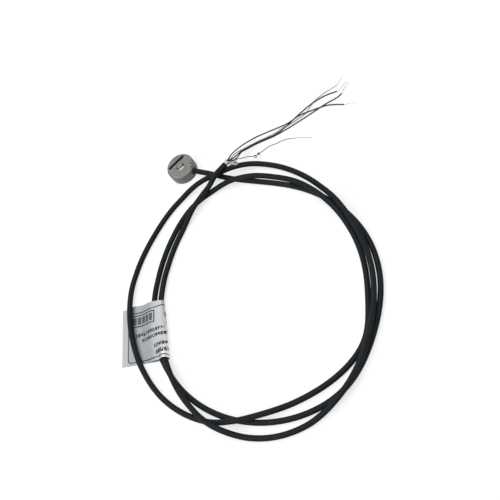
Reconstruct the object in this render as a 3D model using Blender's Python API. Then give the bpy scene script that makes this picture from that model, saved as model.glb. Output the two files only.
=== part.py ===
"""Button load cell with its cable, in Blender.

A turned and milled metal body carries a strain-gauged diaphragm under its load button, and a
round cover closes it from below. A four-core screened cable leaves the wall, lies on the same
surface in three loose loops through a flag label, and ends in stripped leads.

Metres, +Z up. The origin is the centre of the cell's base, on the surface that it stands on.
+Z is the load axis and +X is the side that the cable leaves from.
"""

import math

import bmesh
import bpy
import numpy as np
from mathutils import Matrix, Vector

# Body of the cell
BODY_R = 0.0100
BODY_HEIGHT = 0.0080
RIM_CHAMFER = 0.0006
BASE_CHAMFER = 0.0003
BUTTON_R = 0.0023
BUTTON_RISE = 0.0012
BUTTON_EDGE = 0.00025
GROOVE_R = 0.00305
GROOVE_FLOOR_R = 0.0025
GROOVE_DEPTH = 0.00028
BUTTON_FILLET = 0.0002
POCKET_R = 0.0033
POCKET_FILLET = 0.0004
DIAPHRAGM = 0.0014
CHAMBER_R = 0.0074
CHAMBER_ROOF = 0.0050
SEAT_R = 0.0082
SEAT_HEIGHT = 0.0015
TURNED_STEPS = 96

# Milled slot in the face, beside the button
SLOT_OFFSET = 0.00465
SLOT_SIDE = math.radians(150)
SLOT_LENGTH = 0.0135
SLOT_WIDTH = 0.00145
SLOT_FLOOR = 0.0059

# Punched dot near the rim
DOT_R = 0.0004
DOT_DEPTH = 0.00035
DOT_FROM_AXIS = 0.00885
DOT_ANGLE = math.radians(7)

# Cable exit
EXIT_HEIGHT = 0.0040
BORE_R = 0.0021
BORE_START = 0.0066
COUNTERBORE_R = 0.0028
COUNTERBORE_START = 0.0088
SEAL_START = 0.0090
SEAL_END = 0.0102
SEAL_R = 0.00265
SEAL_DOME = 0.0006
SEAL_LIP = 0.0003
FIT_GAP = 0.00015

# Cover
COVER_R = 0.0080
COVER_LOW = 0.00015
COVER_HIGH = 0.00135
COVER_CHAMFER = 0.0002

# Bridge inside the cell
BOARD_R = 0.0069
BOARD_HOLE_R = 0.0030
BOARD_LOW = 0.0040
BOARD_HIGH = 0.0048
NOTCH_START = 0.0052
NOTCH_WIDTH = 0.0046
GAUGE_FROM_AXIS = 0.00172
GAUGE_LENGTH = 0.0017
GAUGE_WIDTH = 0.0015
GAUGE_FILM = 0.00008
GAUGE_RIDGE = 0.00004
GAUGE_TOP = 0.0065
RESISTOR_LENGTH = 0.0020
RESISTOR_WIDTH = 0.00125
RESISTOR_HEIGHT = 0.0005
RESISTOR_CAP = 0.0004
RESISTOR_WAIST = 0.9
RESISTOR_TOP = 0.0039
GAUGE_WIRE_R = 0.00008
GAUGE_WIRE_FROM_MIDDLE = 0.00036
GAUGE_WIRE_ROUTE = [
    (0.0022, 1, 0.0062), (0.0024, 1, 0.0058), (0.0026, 1.1, 0.0050), (0.0026, 1.2, 0.0042),
    (0.0028, 1.3, 0.0037), (0.0032, 1.5, 0.0036), (0.0036, 1.7, 0.0038),
]
CORE_R = 0.000375
CORE_SPREAD = 0.0005
CORE_STUB = 0.0005
CORE_BEND = 0.0012
CORE_FOOT = 0.0006
CORE_DIP = 0.0001
CORE_TAPER = 0.95
PAD_X = 0.0046
INNER_PAD = 0.0005
OUTER_PAD = 0.0019

# Cable: route in plan and axis heights by distance along it
JACKET_R = 0.00185
MOST_SPACING = 0.028
CABLE_ROUTE = [
    (0.0075, 0), (0.0240, -0.0005), (0.0440, -0.0007), (0.0905, 0.0001), (0.1425, -0.0240),
    (0.1599, -0.0509), (0.1653, -0.0867), (0.1581, -0.1201), (0.1342, -0.1439), (0.1005, -0.1547),
    (0.0625, -0.1487), (0.0291, -0.1213), (0.0130, -0.0801), (0.0124, -0.0478), (0.0200, -0.0229),
    (0.0440, -0.0025), (0.0750, 0.0043), (0.1080, -0.0047), (0.1293, -0.0194), (0.1493, -0.0467),
    (0.1573, -0.0678), (0.1613, -0.0893), (0.1540, -0.1105), (0.1254, -0.1404), (0.0911, -0.1591),
    (0.0508, -0.1564), (0.0173, -0.1318), (-0.0036, -0.0903), (-0.0021, -0.0495), (0.0128, -0.0149),
    (0.0285, -0.0024), (0.0519, 0.0117), (0.0755, 0.0126), (0.0990, 0.0056), (0.1265, -0.0124),
    (0.1509, -0.0408), (0.1634, -0.0822), (0.1591, -0.1213), (0.1302, -0.1555), (0.0850, -0.1616),
    (0.0498, -0.1405), (0.0249, -0.1042), (0.0164, -0.0653), (0.0217, -0.0261), (0.0360, 0.0051),
]
LYING = 0.0019
IN_LABEL = 0.0024
OVER_ONE = 0.0058
CABLE_HEIGHTS = [
    (0, EXIT_HEIGHT), (0.012, EXIT_HEIGHT), (0.032, LYING), (0.371, LYING), (0.388, IN_LABEL),
    (0.428, IN_LABEL), (0.442, LYING), (0.509, LYING), (0.533, OVER_ONE), (0.542, OVER_ONE),
    (0.561, 0.0038), (0.584, 0.0056), (0.591, OVER_ONE), (0.609, OVER_ONE), (0.637, LYING),
    (0.759, LYING), (0.787, OVER_ONE), (0.798, OVER_ONE), (0.817, LYING), (0.868, LYING),
    (0.883, 0.0026), (0.932, 0.0026), (0.947, LYING), (1.004, LYING), (1.032, 0.0071),
    (1.044, 0.0071), (1.077, LYING), (1.115, LYING), (1.138, 0.0070), (1.149, 0.0070),
    (1.169, 0.0049), (1.191, 0.0042), (1.207, 0.0044), (1.227, OVER_ONE), (1.267, OVER_ONE),
    (1.296, LYING), (1.331, LYING), (1.352, 0.0064), (1.362, 0.0063), (1.374, 0.0047),
    (1.387, 0.0059), (1.399, 0.0059), (1.410, 0.0053), (1.418, 0.0047), (1.429, 0.00335),
    (1.445, IN_LABEL), (1.466, IN_LABEL), (1.481, LYING), (1.503, LYING), (1.527, 0.0059),
    (1.537, 0.0066), (1.551, 0.0110), (1.600, 0.0110),
]

# Leads past the jacket's end: each route falls from the cut end to the surface
LEAD_R = 0.000375
LEAD_SPACING = 0.003
LEAD_ROUTES = {
    "red": [
        (0.0358, 0.0056, 0.0115), (0.0366, 0.0073, 0.0115), (0.0370, 0.0114, 0.01075),
        (0.0373, 0.0151, 0.0092), (0.0382, 0.0192, 0.00725), (0.0391, 0.0231, 0.0051),
        (0.0403, 0.0267, 0.0031), (0.0424, 0.0303, 0.0016), (0.0450, 0.0335, 0.0007),
        (0.0482, 0.0359, 0.0005), (0.0521, 0.0385, 0.00055), (0.0562, 0.0409, 0.00085),
        (0.0630, 0.0447, 0.00165), (0.0670, 0.0474, 0.0023), (0.0693, 0.0498, 0.0026),
        (0.0715, 0.0524, 0.00245), (0.0739, 0.0549, 0.0018), (0.0776, 0.0580, 0.0009),
        (0.0825, 0.0612, 0.0005), (0.0871, 0.0637, 0.0005), (0.0919, 0.0651, 0.00055),
        (0.0962, 0.0658, 0.00055), (0.1005, 0.0662, 0.0006),
    ],
    "white": [
        (0.0358, 0.0056, 0.0105), (0.0366, 0.0073, 0.0105), (0.0382, 0.0117, 0.0099),
        (0.0390, 0.0152, 0.0087), (0.0401, 0.0182, 0.0071), (0.0416, 0.0211, 0.0053),
        (0.0436, 0.0246, 0.00345), (0.0474, 0.0293, 0.00185), (0.0496, 0.0321, 0.0008),
        (0.0527, 0.0345, 0.0005), (0.0559, 0.0370, 0.0005), (0.0590, 0.0395, 0.0005),
        (0.0622, 0.0435, 0.0005), (0.0654, 0.0457, 0.0005), (0.0689, 0.0489, 0.0005),
        (0.0718, 0.0521, 0.0005), (0.0746, 0.0552, 0.0005), (0.0761, 0.0589, 0.0005),
        (0.0770, 0.0631, 0.0005), (0.0784, 0.0669, 0.00055), (0.0806, 0.0699, 0.0006),
        (0.0829, 0.0731, 0.0005), (0.0867, 0.0769, 0.0005), (0.0904, 0.0806, 0.0005),
    ],
    "black": [
        (0.0366, 0.0052, 0.0115), (0.0375, 0.0069, 0.0115), (0.0398, 0.0101, 0.01085),
        (0.0408, 0.0132, 0.00965), (0.0422, 0.0176, 0.00795), (0.0434, 0.0209, 0.0059),
        (0.0452, 0.0247, 0.0038), (0.0482, 0.0289, 0.0020), (0.0508, 0.0312, 0.0014),
        (0.0541, 0.0334, 0.00135), (0.0573, 0.0356, 0.00135), (0.0601, 0.0379, 0.0014),
        (0.0637, 0.0423, 0.0014), (0.0663, 0.0463, 0.0014), (0.0682, 0.0496, 0.0014),
        (0.0707, 0.0538, 0.0014), (0.0727, 0.0569, 0.00135), (0.0748, 0.0601, 0.00135),
        (0.0769, 0.0630, 0.00135), (0.0791, 0.0656, 0.00125), (0.0819, 0.0686, 0.00105),
        (0.0866, 0.0726, 0.0008), (0.0924, 0.0760, 0.0005),
    ],
    "green": [
        (0.0366, 0.0052, 0.0105), (0.0375, 0.0069, 0.0105), (0.0409, 0.0097, 0.01015),
        (0.0419, 0.0131, 0.0088), (0.0421, 0.0175, 0.00705), (0.0433, 0.0207, 0.00495),
        (0.0452, 0.0245, 0.0029), (0.0482, 0.0288, 0.00105), (0.0509, 0.0311, 0.00055),
        (0.0541, 0.0333, 0.0005), (0.0574, 0.0355, 0.0005), (0.0602, 0.0378, 0.0005),
        (0.0646, 0.0417, 0.0005), (0.0674, 0.0443, 0.0005), (0.0697, 0.0467, 0.0005),
        (0.0743, 0.0514, 0.0005), (0.0783, 0.0556, 0.0005), (0.0812, 0.0586, 0.00065),
        (0.0842, 0.0613, 0.0011), (0.0872, 0.0642, 0.0014), (0.0918, 0.0685, 0.0012),
        (0.0950, 0.0721, 0.00085), (0.0961, 0.0747, 0.0005),
    ],
}
TIP_R = 0.00025
TIP_ROUTES = {
    "red": [
        (0.1008, 0.0662, 0.0005), (0.1037, 0.0677, 0.0005), (0.1065, 0.0682, 0.0005),
        (0.1098, 0.0681, 0.0005),
    ],
    "white": [
        (0.0906, 0.0809, 0.0005), (0.0910, 0.0828, 0.0005), (0.0916, 0.0853, 0.0005),
        (0.0923, 0.0883, 0.0005),
    ],
    "black": [
        (0.0927, 0.0762, 0.0005), (0.0941, 0.0791, 0.0005), (0.0956, 0.0819, 0.0005),
        (0.0972, 0.0848, 0.0005),
    ],
    "green": [
        (0.0962, 0.0750, 0.0005), (0.0964, 0.0771, 0.0005), (0.0970, 0.0800, 0.0005),
        (0.0988, 0.0837, 0.0005),
    ],
}
DRAIN_R = 0.00027
DRAIN_ROUTE = [
    (0.0371, 0.0049, 0.0110), (0.0381, 0.0068, 0.0110), (0.0416, 0.0089, 0.01015),
    (0.0423, 0.0106, 0.0094), (0.0436, 0.0121, 0.00805), (0.0455, 0.0141, 0.0067),
    (0.0476, 0.0158, 0.00535), (0.0495, 0.0169, 0.00405), (0.0517, 0.0185, 0.0029),
    (0.0525, 0.0207, 0.0019), (0.0532, 0.0225, 0.0012), (0.0547, 0.0246, 0.0007),
    (0.0563, 0.0266, 0.0005), (0.0583, 0.0287, 0.0004), (0.0609, 0.0304, 0.0004),
    (0.0635, 0.0322, 0.0004), (0.0662, 0.0339, 0.0004), (0.0702, 0.0358, 0.0004),
    (0.0738, 0.0368, 0.0004), (0.0788, 0.0377, 0.0004), (0.0824, 0.0382, 0.0005),
    (0.0858, 0.0385, 0.0005),
]

# Foil wrap at the cut end
FOIL_INNER_R = 0.0015
FOIL_OUTER_R = 0.00166
FOIL_LENGTH = 0.0025
FOIL_FLARE = 0.0004
FOIL_TEETH = 7
FOIL_TOOTH = 0.0006
END_GAP = 0.0003

# Flag label, folded round two runs of the cable
LABEL_CORNER = (-0.0043, -0.1076)
LABEL_HEADING = math.radians(-66.5)
LABEL_LENGTH = 0.0395
LABEL_FILM = 0.0002
LABEL_LOW = 0.00017
LABEL_LAYER = 0.00027
LABEL_SLACK = 0.00035
LABEL_FRONT_EDGE = 0.0033
LABEL_FALL = 0.0110
LABEL_INNER_RUN = (0.375, 0.432)
LABEL_OUTER_RUN = (1.405, 1.462)
LABEL_SECTIONS = 11


def clear_scene():
    for obj in list(bpy.data.objects):
        bpy.data.objects.remove(obj, do_unlink=True)


def finish(name, colour, metallic, roughness):
    """A Principled material."""
    made = bpy.data.materials.new(name)
    made.use_nodes = True
    shader = made.node_tree.nodes["Principled BSDF"]
    shader.inputs["Base Color"].default_value = (*colour, 1)
    shader.inputs["Metallic"].default_value = metallic
    shader.inputs["Roughness"].default_value = roughness
    made.diffuse_color = (*colour, 1)
    return made


def link(name, data, material=None):
    obj = bpy.data.objects.new(name, data)
    bpy.context.collection.objects.link(obj)
    if material:
        data.materials.append(material)
    return obj


def mesh_object(name, work, material=None):
    """Turns a bmesh into an object, with its faces out."""
    bmesh.ops.recalc_face_normals(work, faces=work.faces)
    mesh = bpy.data.meshes.new(name)
    work.to_mesh(mesh)
    work.free()
    return link(name, mesh, material)


def as_cutter(obj):
    obj.hide_render = True
    obj.display_type = "WIRE"
    return obj


def turned(name, profile, material=None, steps=TURNED_STEPS):
    """Turns a profile of (radius, height) points about Z; it runs down its outer side."""
    mesh = bpy.data.meshes.new(name)
    points = [(radius, 0, height) for radius, height in profile]
    closed = profile[0][0] > 0
    edges = [(i, i + 1) for i in range(len(points) - 1)]
    if closed:
        edges.append((len(points) - 1, 0))
    mesh.from_pydata(points, edges, [])
    obj = link(name, mesh, material)
    screw = obj.modifiers.new("Turning", "SCREW")
    screw.steps = screw.render_steps = steps
    screw.use_merge_vertices = True
    screw.merge_threshold = 0.00001
    return obj


def cut(obj, cutter):
    boolean = obj.modifiers.new(cutter.name, "BOOLEAN")
    boolean.operation = "DIFFERENCE"
    boolean.object = as_cutter(cutter)


def settle(obj, sharp_angle=30):
    """Applies the modifiers and shades the mesh smooth up to its sharp edges."""
    graph = bpy.context.evaluated_depsgraph_get()
    mesh = bpy.data.meshes.new_from_object(obj.evaluated_get(graph))
    cutters = [step.object for step in obj.modifiers if step.type == "BOOLEAN"]
    obj.modifiers.clear()
    rough = obj.data
    obj.data = mesh
    bpy.data.meshes.remove(rough)
    mesh.name = obj.name
    mesh.shade_smooth()
    mesh.set_sharp_from_angle(angle=math.radians(sharp_angle))
    for cutter in cutters:
        bpy.data.objects.remove(cutter, do_unlink=True)
    return obj


def arc(centre, radius, start, end, steps):
    """Points of an arc in the profile plane, from one angle in degrees to another."""
    angles = np.radians(np.linspace(start, end, steps + 1))
    return [(centre[0] + radius * math.cos(a), centre[1] + radius * math.sin(a)) for a in angles]


def rod(name, radius, low, high, sides=48):
    """A plain cylinder on Z, for a cutter."""
    work = bmesh.new()
    bmesh.ops.create_cone(
        work, cap_ends=True, segments=sides, radius1=radius, radius2=radius, depth=high - low,
        matrix=Matrix.Translation((0, 0, (low + high) / 2)),
    )
    return mesh_object(name, work)


def slot_cutter():
    """The path of the end mill: a prism with round ends, standing through the face."""
    work = bmesh.new()
    half = SLOT_LENGTH / 2 - SLOT_WIDTH / 2
    rim = []
    for end in (1, -1):
        for step in range(13):
            angle = math.radians(-90 + 15 * step) + (0 if end > 0 else math.pi)
            x = end * half + SLOT_WIDTH / 2 * math.cos(angle)
            y = SLOT_WIDTH / 2 * math.sin(angle)
            rim.append(work.verts.new((x, y, 0)))
    floor = work.faces.new(rim)
    raised = bmesh.ops.extrude_face_region(work, geom=[floor])["geom"]
    top = [vertex for vertex in raised if isinstance(vertex, bmesh.types.BMVert)]
    bmesh.ops.translate(work, vec=(0, 0, BODY_HEIGHT), verts=top)
    cutter = mesh_object("slot_mill", work)
    place = Vector((math.cos(SLOT_SIDE), math.sin(SLOT_SIDE), 0)) * SLOT_OFFSET
    cutter.location = (place.x, place.y, SLOT_FLOOR)
    cutter.rotation_euler = (0, 0, SLOT_SIDE - math.pi / 2)
    return cutter


def dot_cutter():
    work = bmesh.new()
    bmesh.ops.create_cone(
        work, cap_ends=True, segments=24, radius1=DOT_R * 0.45, radius2=DOT_R * 1.55,
        depth=DOT_DEPTH * 2,
    )
    cutter = mesh_object("dot_punch", work)
    place = Vector((math.cos(DOT_ANGLE), math.sin(DOT_ANGLE), 0)) * DOT_FROM_AXIS
    cutter.location = (place.x, place.y, BODY_HEIGHT)
    return cutter


def bore_cutter(name, radius, start):
    cutter = rod(name, radius, start, BODY_R * 1.2)
    cutter.rotation_euler = (0, math.pi / 2, 0)
    cutter.location = (0, 0, EXIT_HEIGHT)
    return cutter


def body_profile():
    """Half section of the body, from the button's centre round to the gauge pocket's roof."""
    button_top = BODY_HEIGHT + BUTTON_RISE
    groove_floor = BODY_HEIGHT - GROOVE_DEPTH
    pocket_roof = BODY_HEIGHT - DIAPHRAGM
    points = [(0, button_top)]
    points += arc((BUTTON_R - BUTTON_EDGE, button_top - BUTTON_EDGE), BUTTON_EDGE, 90, 0, 4)
    foot = (GROOVE_FLOOR_R, groove_floor + BUTTON_FILLET)
    points += arc(foot, BUTTON_FILLET, 180, 270, 3)
    points += arc((GROOVE_FLOOR_R, BODY_HEIGHT), GROOVE_DEPTH, 270, 315, 2)[1:]
    points.append((GROOVE_R, BODY_HEIGHT))
    points += [(BODY_R - RIM_CHAMFER, BODY_HEIGHT), (BODY_R, BODY_HEIGHT - RIM_CHAMFER)]
    points += [(BODY_R, BASE_CHAMFER), (BODY_R - BASE_CHAMFER, 0)]
    points += [(SEAT_R, 0), (SEAT_R, SEAT_HEIGHT)]
    points += [(CHAMBER_R, SEAT_HEIGHT), (CHAMBER_R, CHAMBER_ROOF)]
    points += [(POCKET_R, CHAMBER_ROOF)]
    points += arc((POCKET_R - POCKET_FILLET, pocket_roof - POCKET_FILLET), POCKET_FILLET, 0, 90, 4)
    points.append((0, pocket_roof))
    return points


def cell_body(material):
    body = turned("cell_body", body_profile(), material)
    cut(body, slot_cutter())
    cut(body, bore_cutter("cable_drill", BORE_R, BORE_START))
    cut(body, bore_cutter("seal_counterbore", COUNTERBORE_R, COUNTERBORE_START))
    cut(body, dot_cutter())
    return settle(body)


def base_cover(material):
    edge = COVER_R - COVER_CHAMFER
    profile = [(0, COVER_HIGH), (edge, COVER_HIGH), (COVER_R, COVER_HIGH - COVER_CHAMFER)]
    profile += [(COVER_R, COVER_LOW + COVER_CHAMFER), (edge, COVER_LOW), (0, COVER_LOW)]
    return settle(turned("base_cover", profile, material, 64))


def cable_seal(material):
    """Sealant in the counterbore, domed where it meets the cable."""
    inner = JACKET_R + FIT_GAP
    dome = SEAL_END - SEAL_DOME
    profile = [(inner, SEAL_END), (inner + SEAL_LIP, SEAL_END - SEAL_DOME / 10)]
    profile += [((inner + SEAL_LIP + SEAL_R) / 2, dome + SEAL_DOME / 2)]
    profile += [(SEAL_R, dome), (SEAL_R, SEAL_START), (inner, SEAL_START)]
    seal = settle(turned("cable_seal", profile, material, 40))
    seal.rotation_euler = (0, math.pi / 2, 0)
    seal.location = (0, 0, EXIT_HEIGHT)
    return seal


def bridge_board(material):
    profile = [(BOARD_HOLE_R, BOARD_HIGH), (BOARD_R, BOARD_HIGH)]
    profile += [(BOARD_R, BOARD_LOW), (BOARD_HOLE_R, BOARD_LOW)]
    board = turned("bridge_board", profile, material, 64)
    work = bmesh.new()
    reach = BODY_R - NOTCH_START
    bmesh.ops.create_cube(work, matrix=Matrix.Diagonal((reach, NOTCH_WIDTH, BOARD_HIGH, 1)))
    notch = mesh_object("cable_notch", work)
    notch.location = (NOTCH_START + reach / 2, 0, (BOARD_LOW + BOARD_HIGH) / 2)
    cut(board, notch)
    return settle(board)


def lattice(work, xs, ys):
    """A flat grid of quads with lines at the given places; returns its faces by (column, row)."""
    corners = [[work.verts.new((x, y, 0)) for y in ys] for x in xs]
    faces = {}
    for i in range(len(xs) - 1):
        for j in range(len(ys) - 1):
            ring = (corners[i][j], corners[i + 1][j], corners[i + 1][j + 1], corners[i][j + 1])
            faces[i, j] = work.faces.new(ring)
    return faces


def raise_faces(work, faces, height):
    made = bmesh.ops.extrude_face_region(work, geom=faces)["geom"]
    top = [item for item in made if isinstance(item, bmesh.types.BMVert)]
    bmesh.ops.translate(work, vec=(0, 0, height), verts=top)


def strain_gauge(number, material):
    """A film with its foil grid and two solder tabs, bonded face down under the diaphragm."""
    work = bmesh.new()
    lines = 5
    margin = GAUGE_WIDTH * 0.14
    pitch = (GAUGE_WIDTH - 2 * margin) / (2 * lines - 1)
    ys = [-GAUGE_WIDTH / 2] + [-GAUGE_WIDTH / 2 + margin + pitch * i for i in range(2 * lines)]
    ys.append(GAUGE_WIDTH / 2)
    half = GAUGE_LENGTH / 2
    xs = [-half, -half * 0.8, half * 0.35, half * 0.5, half * 0.88, half]
    faces = lattice(work, xs, ys)
    grid = [faces[1, j] for j in range(1, 2 * lines, 2)]
    tabs = [faces[3, j] for j in range(1, 2 * lines) if j != lines]
    leads = [faces[2, 1], faces[2, 2 * lines - 1]]
    raise_faces(work, list(faces.values()), -GAUGE_FILM)
    raised = grid + tabs + leads
    raise_faces(work, raised, GAUGE_RIDGE)
    bmesh.ops.delete(work, geom=[face for face in raised if face.is_valid], context="FACES_ONLY")
    gauge = mesh_object(f"strain_gauge_{number}", work, material)
    turn = math.radians(90 * (number - 1))
    gauge.matrix_world = (
        Matrix.Rotation(turn, 4, "Z")
        @ Matrix.Translation((GAUGE_FROM_AXIS, 0, GAUGE_TOP - GAUGE_FILM))
        @ Matrix.Rotation(math.pi, 4, "X")
    )
    return gauge


def gauge_wires(number, material):
    """Two enamelled wires, from the gauge's tabs through the board's hole to its underside.

    Their route is one of (x, share of the distance from the middle line, z) points.
    """
    turn = math.radians(90 * (number - 1))
    for side, letter in ((1, "a"), (-1, "b")):
        points = []
        for x, spread, z in GAUGE_WIRE_ROUTE:
            spot = Vector((x, side * GAUGE_WIRE_FROM_MIDDLE * spread, z))
            points.append(Matrix.Rotation(turn, 3, "Z") @ spot)
        tube(f"gauge_wire_{number}{letter}", points, GAUGE_WIRE_R, material, 1)


def compensation_resistor(number, angle, material):
    """A chip resistor with its end caps proud of the body, under the board."""
    work = bmesh.new()
    half = RESISTOR_LENGTH / 2
    stations = [(-half, 1), (-half + RESISTOR_CAP, 1), (-half + RESISTOR_CAP, RESISTOR_WAIST)]
    stations += [(-x, scale) for x, scale in reversed(stations)]
    rings = []
    for x, scale in stations:
        y = RESISTOR_WIDTH / 2 * scale
        z = RESISTOR_HEIGHT / 2 * scale
        rings.append([work.verts.new((x, *corner)) for corner in ((y, z), (-y, z), (-y, -z), (y, -z))])
    skin(work, rings)
    chip = mesh_object(f"compensation_resistor_{number}", work, material)
    distance = (BOARD_HOLE_R + BOARD_R) / 2
    chip.location = (
        distance * math.cos(angle), distance * math.sin(angle), RESISTOR_TOP - RESISTOR_HEIGHT / 2,
    )
    chip.rotation_euler = (0, 0, angle + math.pi / 2)
    return chip


def skin(work, rings):
    """Closes a row of rings into one body: sides between neighbours and a cap at each end."""
    for ring, following in zip(rings, rings[1:]):
        for i, vertex in enumerate(ring):
            j = (i + 1) % len(ring)
            work.faces.new((vertex, ring[j], following[j], following[i]))
    work.faces.new(list(reversed(rings[0])))
    work.faces.new(rings[-1])


def natural_spline(knots, points, at):
    """A natural cubic spline through the points, read at the given parameters."""
    count = len(knots)
    step = np.diff(knots)
    slopes = np.diff(points, axis=0) / step[:, None]
    system = np.eye(count)
    bends = np.zeros_like(points)
    for i in range(1, count - 1):
        system[i, i - 1 : i + 2] = step[i - 1], 2 * (step[i - 1] + step[i]), step[i]
        bends[i] = 6 * (slopes[i] - slopes[i - 1])
    bends = np.linalg.solve(system, bends)
    k = np.clip(np.searchsorted(knots, at, side="right") - 1, 0, count - 2)
    before = (knots[k + 1] - at)[:, None]
    after = (at - knots[k])[:, None]
    h = step[k][:, None]
    curved = (bends[k] * before**3 + bends[k + 1] * after**3) / (6 * h)
    straight = (points[k] / h - bends[k] * h / 6) * before
    return curved + straight + (points[k + 1] / h - bends[k + 1] * h / 6) * after


def smooth_line(route, samples=4000):
    """The smooth curve through a route's points: its finely spaced points and their distances."""
    points = np.array(route, float)
    knots = np.concatenate([[0], np.cumsum(np.linalg.norm(np.diff(points, axis=0), axis=1))])
    line = natural_spline(knots, points, np.linspace(0, knots[-1], samples))
    along = np.concatenate([[0], np.cumsum(np.linalg.norm(np.diff(line, axis=0), axis=1))])
    return line, along


def cable_points(distances):
    """Points of the cable's axis at distances along its plan, with the height eased in between."""
    line, along = smooth_line(CABLE_ROUTE)
    stations, heights = np.array(CABLE_HEIGHTS).T
    k = np.clip(np.searchsorted(stations, distances, side="right") - 1, 0, len(stations) - 2)
    share = np.clip((distances - stations[k]) / (stations[k + 1] - stations[k]), 0, 1)
    z = heights[k] + (heights[k + 1] - heights[k]) * share**2 * (3 - 2 * share)
    x = np.interp(distances, along, line[:, 0])
    y = np.interp(distances, along, line[:, 1])
    return np.stack([x, y, z], axis=1)


def tube_stations():
    """Distances of the tube's points: every height station, and as many between as they need."""
    total = smooth_line(CABLE_ROUTE)[1][-1]
    marks = [station for station, height in CABLE_HEIGHTS if station < total] + [total]
    stations = []
    for start, end in zip(marks, marks[1:]):
        parts = math.ceil((end - start) / MOST_SPACING)
        stations += [start + (end - start) * part / parts for part in range(parts)]
    return np.array(stations + [total])


def tube(name, points, radius, material, bevel_resolution=2):
    """A round bar along the points, closed at both ends."""
    curve = bpy.data.curves.new(name, "CURVE")
    curve.dimensions = "3D"
    curve.bevel_depth = radius
    curve.bevel_resolution = bevel_resolution
    curve.use_fill_caps = True
    spline = curve.splines.new("POLY")
    spline.points.add(len(points) - 1)
    for spot, point in zip(spline.points, points):
        spot.co = (*point, 1)
    spline.use_smooth = True
    return link(name, curve, material)


def lead(name, route, radius, material):
    """A tube along the smooth curve through its route."""
    line, along = smooth_line(route, 400)
    distances = np.linspace(0, along[-1], round(along[-1] / LEAD_SPACING) + 1)
    points = np.stack([np.interp(distances, along, line[:, axis]) for axis in range(3)], axis=1)
    return tube(name, points, radius, material)


def core_tail(colour, across, up, material):
    """A core from the jacket's inner end to its pad on the board's underside."""
    start = CABLE_ROUTE[0][0] - END_GAP
    lifted = EXIT_HEIGHT + up * CORE_SPREAD
    low = BOARD_LOW - FIT_GAP - CORE_R
    near_y = across * CORE_SPREAD
    pad_y = across * (INNER_PAD if up > 0 else OUTER_PAD)
    route = [
        (start, near_y, lifted), (start - CORE_STUB, near_y, lifted - CORE_DIP),
        (start - CORE_BEND, (near_y + 4 * pad_y) / 5, (lifted + low) / 2),
        (PAD_X + CORE_FOOT, pad_y * CORE_TAPER, low), (PAD_X, pad_y, low),
    ]
    line, along = smooth_line(route, 100)
    distances = np.linspace(0, along[-1], 9)
    points = np.stack([np.interp(distances, along, line[:, axis]) for axis in range(3)], axis=1)
    return tube(f"core_{colour}", points, CORE_R, material)


def cut_end():
    """Place and heading of the cable's stripped end."""
    total = smooth_line(CABLE_ROUTE)[1][-1]
    near, end = cable_points(np.array([total - 0.001, total]))
    return Vector(end), Vector(end - near).normalized()


def shield_foil(material):
    """The screen's foil wrap, cut ragged and opened a little past the jacket."""
    end, heading = cut_end()
    side = heading.cross(Vector((0, 0, 1))).normalized()
    up = side.cross(heading)
    sides = 28
    work = bmesh.new()

    def ring(radius, distance, tooth):
        made = []
        for i in range(sides):
            angle = 2 * math.pi * i / sides
            reach = distance + tooth * math.sin(FOIL_TEETH * angle) * (1 + 0.5 * math.cos(angle))
            around = side * math.cos(angle) + up * math.sin(angle)
            made.append(work.verts.new(end + heading * reach + around * radius))
        return made

    outside = [
        ring(FOIL_OUTER_R, END_GAP, 0), ring(FOIL_OUTER_R, FOIL_LENGTH * 0.6, 0),
        ring(FOIL_OUTER_R + FOIL_FLARE, FOIL_LENGTH, FOIL_TOOTH),
    ]
    inside = [
        ring(FOIL_INNER_R + FOIL_FLARE, FOIL_LENGTH, FOIL_TOOTH),
        ring(FOIL_INNER_R, FOIL_LENGTH * 0.6, 0), ring(FOIL_INNER_R, END_GAP, 0),
    ]
    loops = outside + inside
    for loop, following in zip(loops, loops[1:] + loops[:1]):
        for i in range(sides):
            j = (i + 1) % sides
            work.faces.new((loop[i], loop[j], following[j], following[i]))
    foil = mesh_object("shield_foil", work, material)
    foil.data.shade_smooth()
    foil.data.set_sharp_from_angle(angle=math.radians(40))
    return foil


def run_in_label(run):
    """One run of the tube in the label's own frame: along its length, across it, and height."""
    stations = tube_stations()
    corners = cable_points(stations)
    distances = np.linspace(*run, 60)
    points = np.stack([np.interp(distances, stations, corners[:, axis]) for axis in range(3)], axis=1)
    offset = points[:, :2] - np.array(LABEL_CORNER)
    heading = np.array([math.cos(LABEL_HEADING), math.sin(LABEL_HEADING)])
    sideways = np.array([-heading[1], heading[0]])
    order = np.argsort(offset @ heading)
    return (offset @ heading)[order], (offset @ sideways)[order], points[order, 2]


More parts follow.
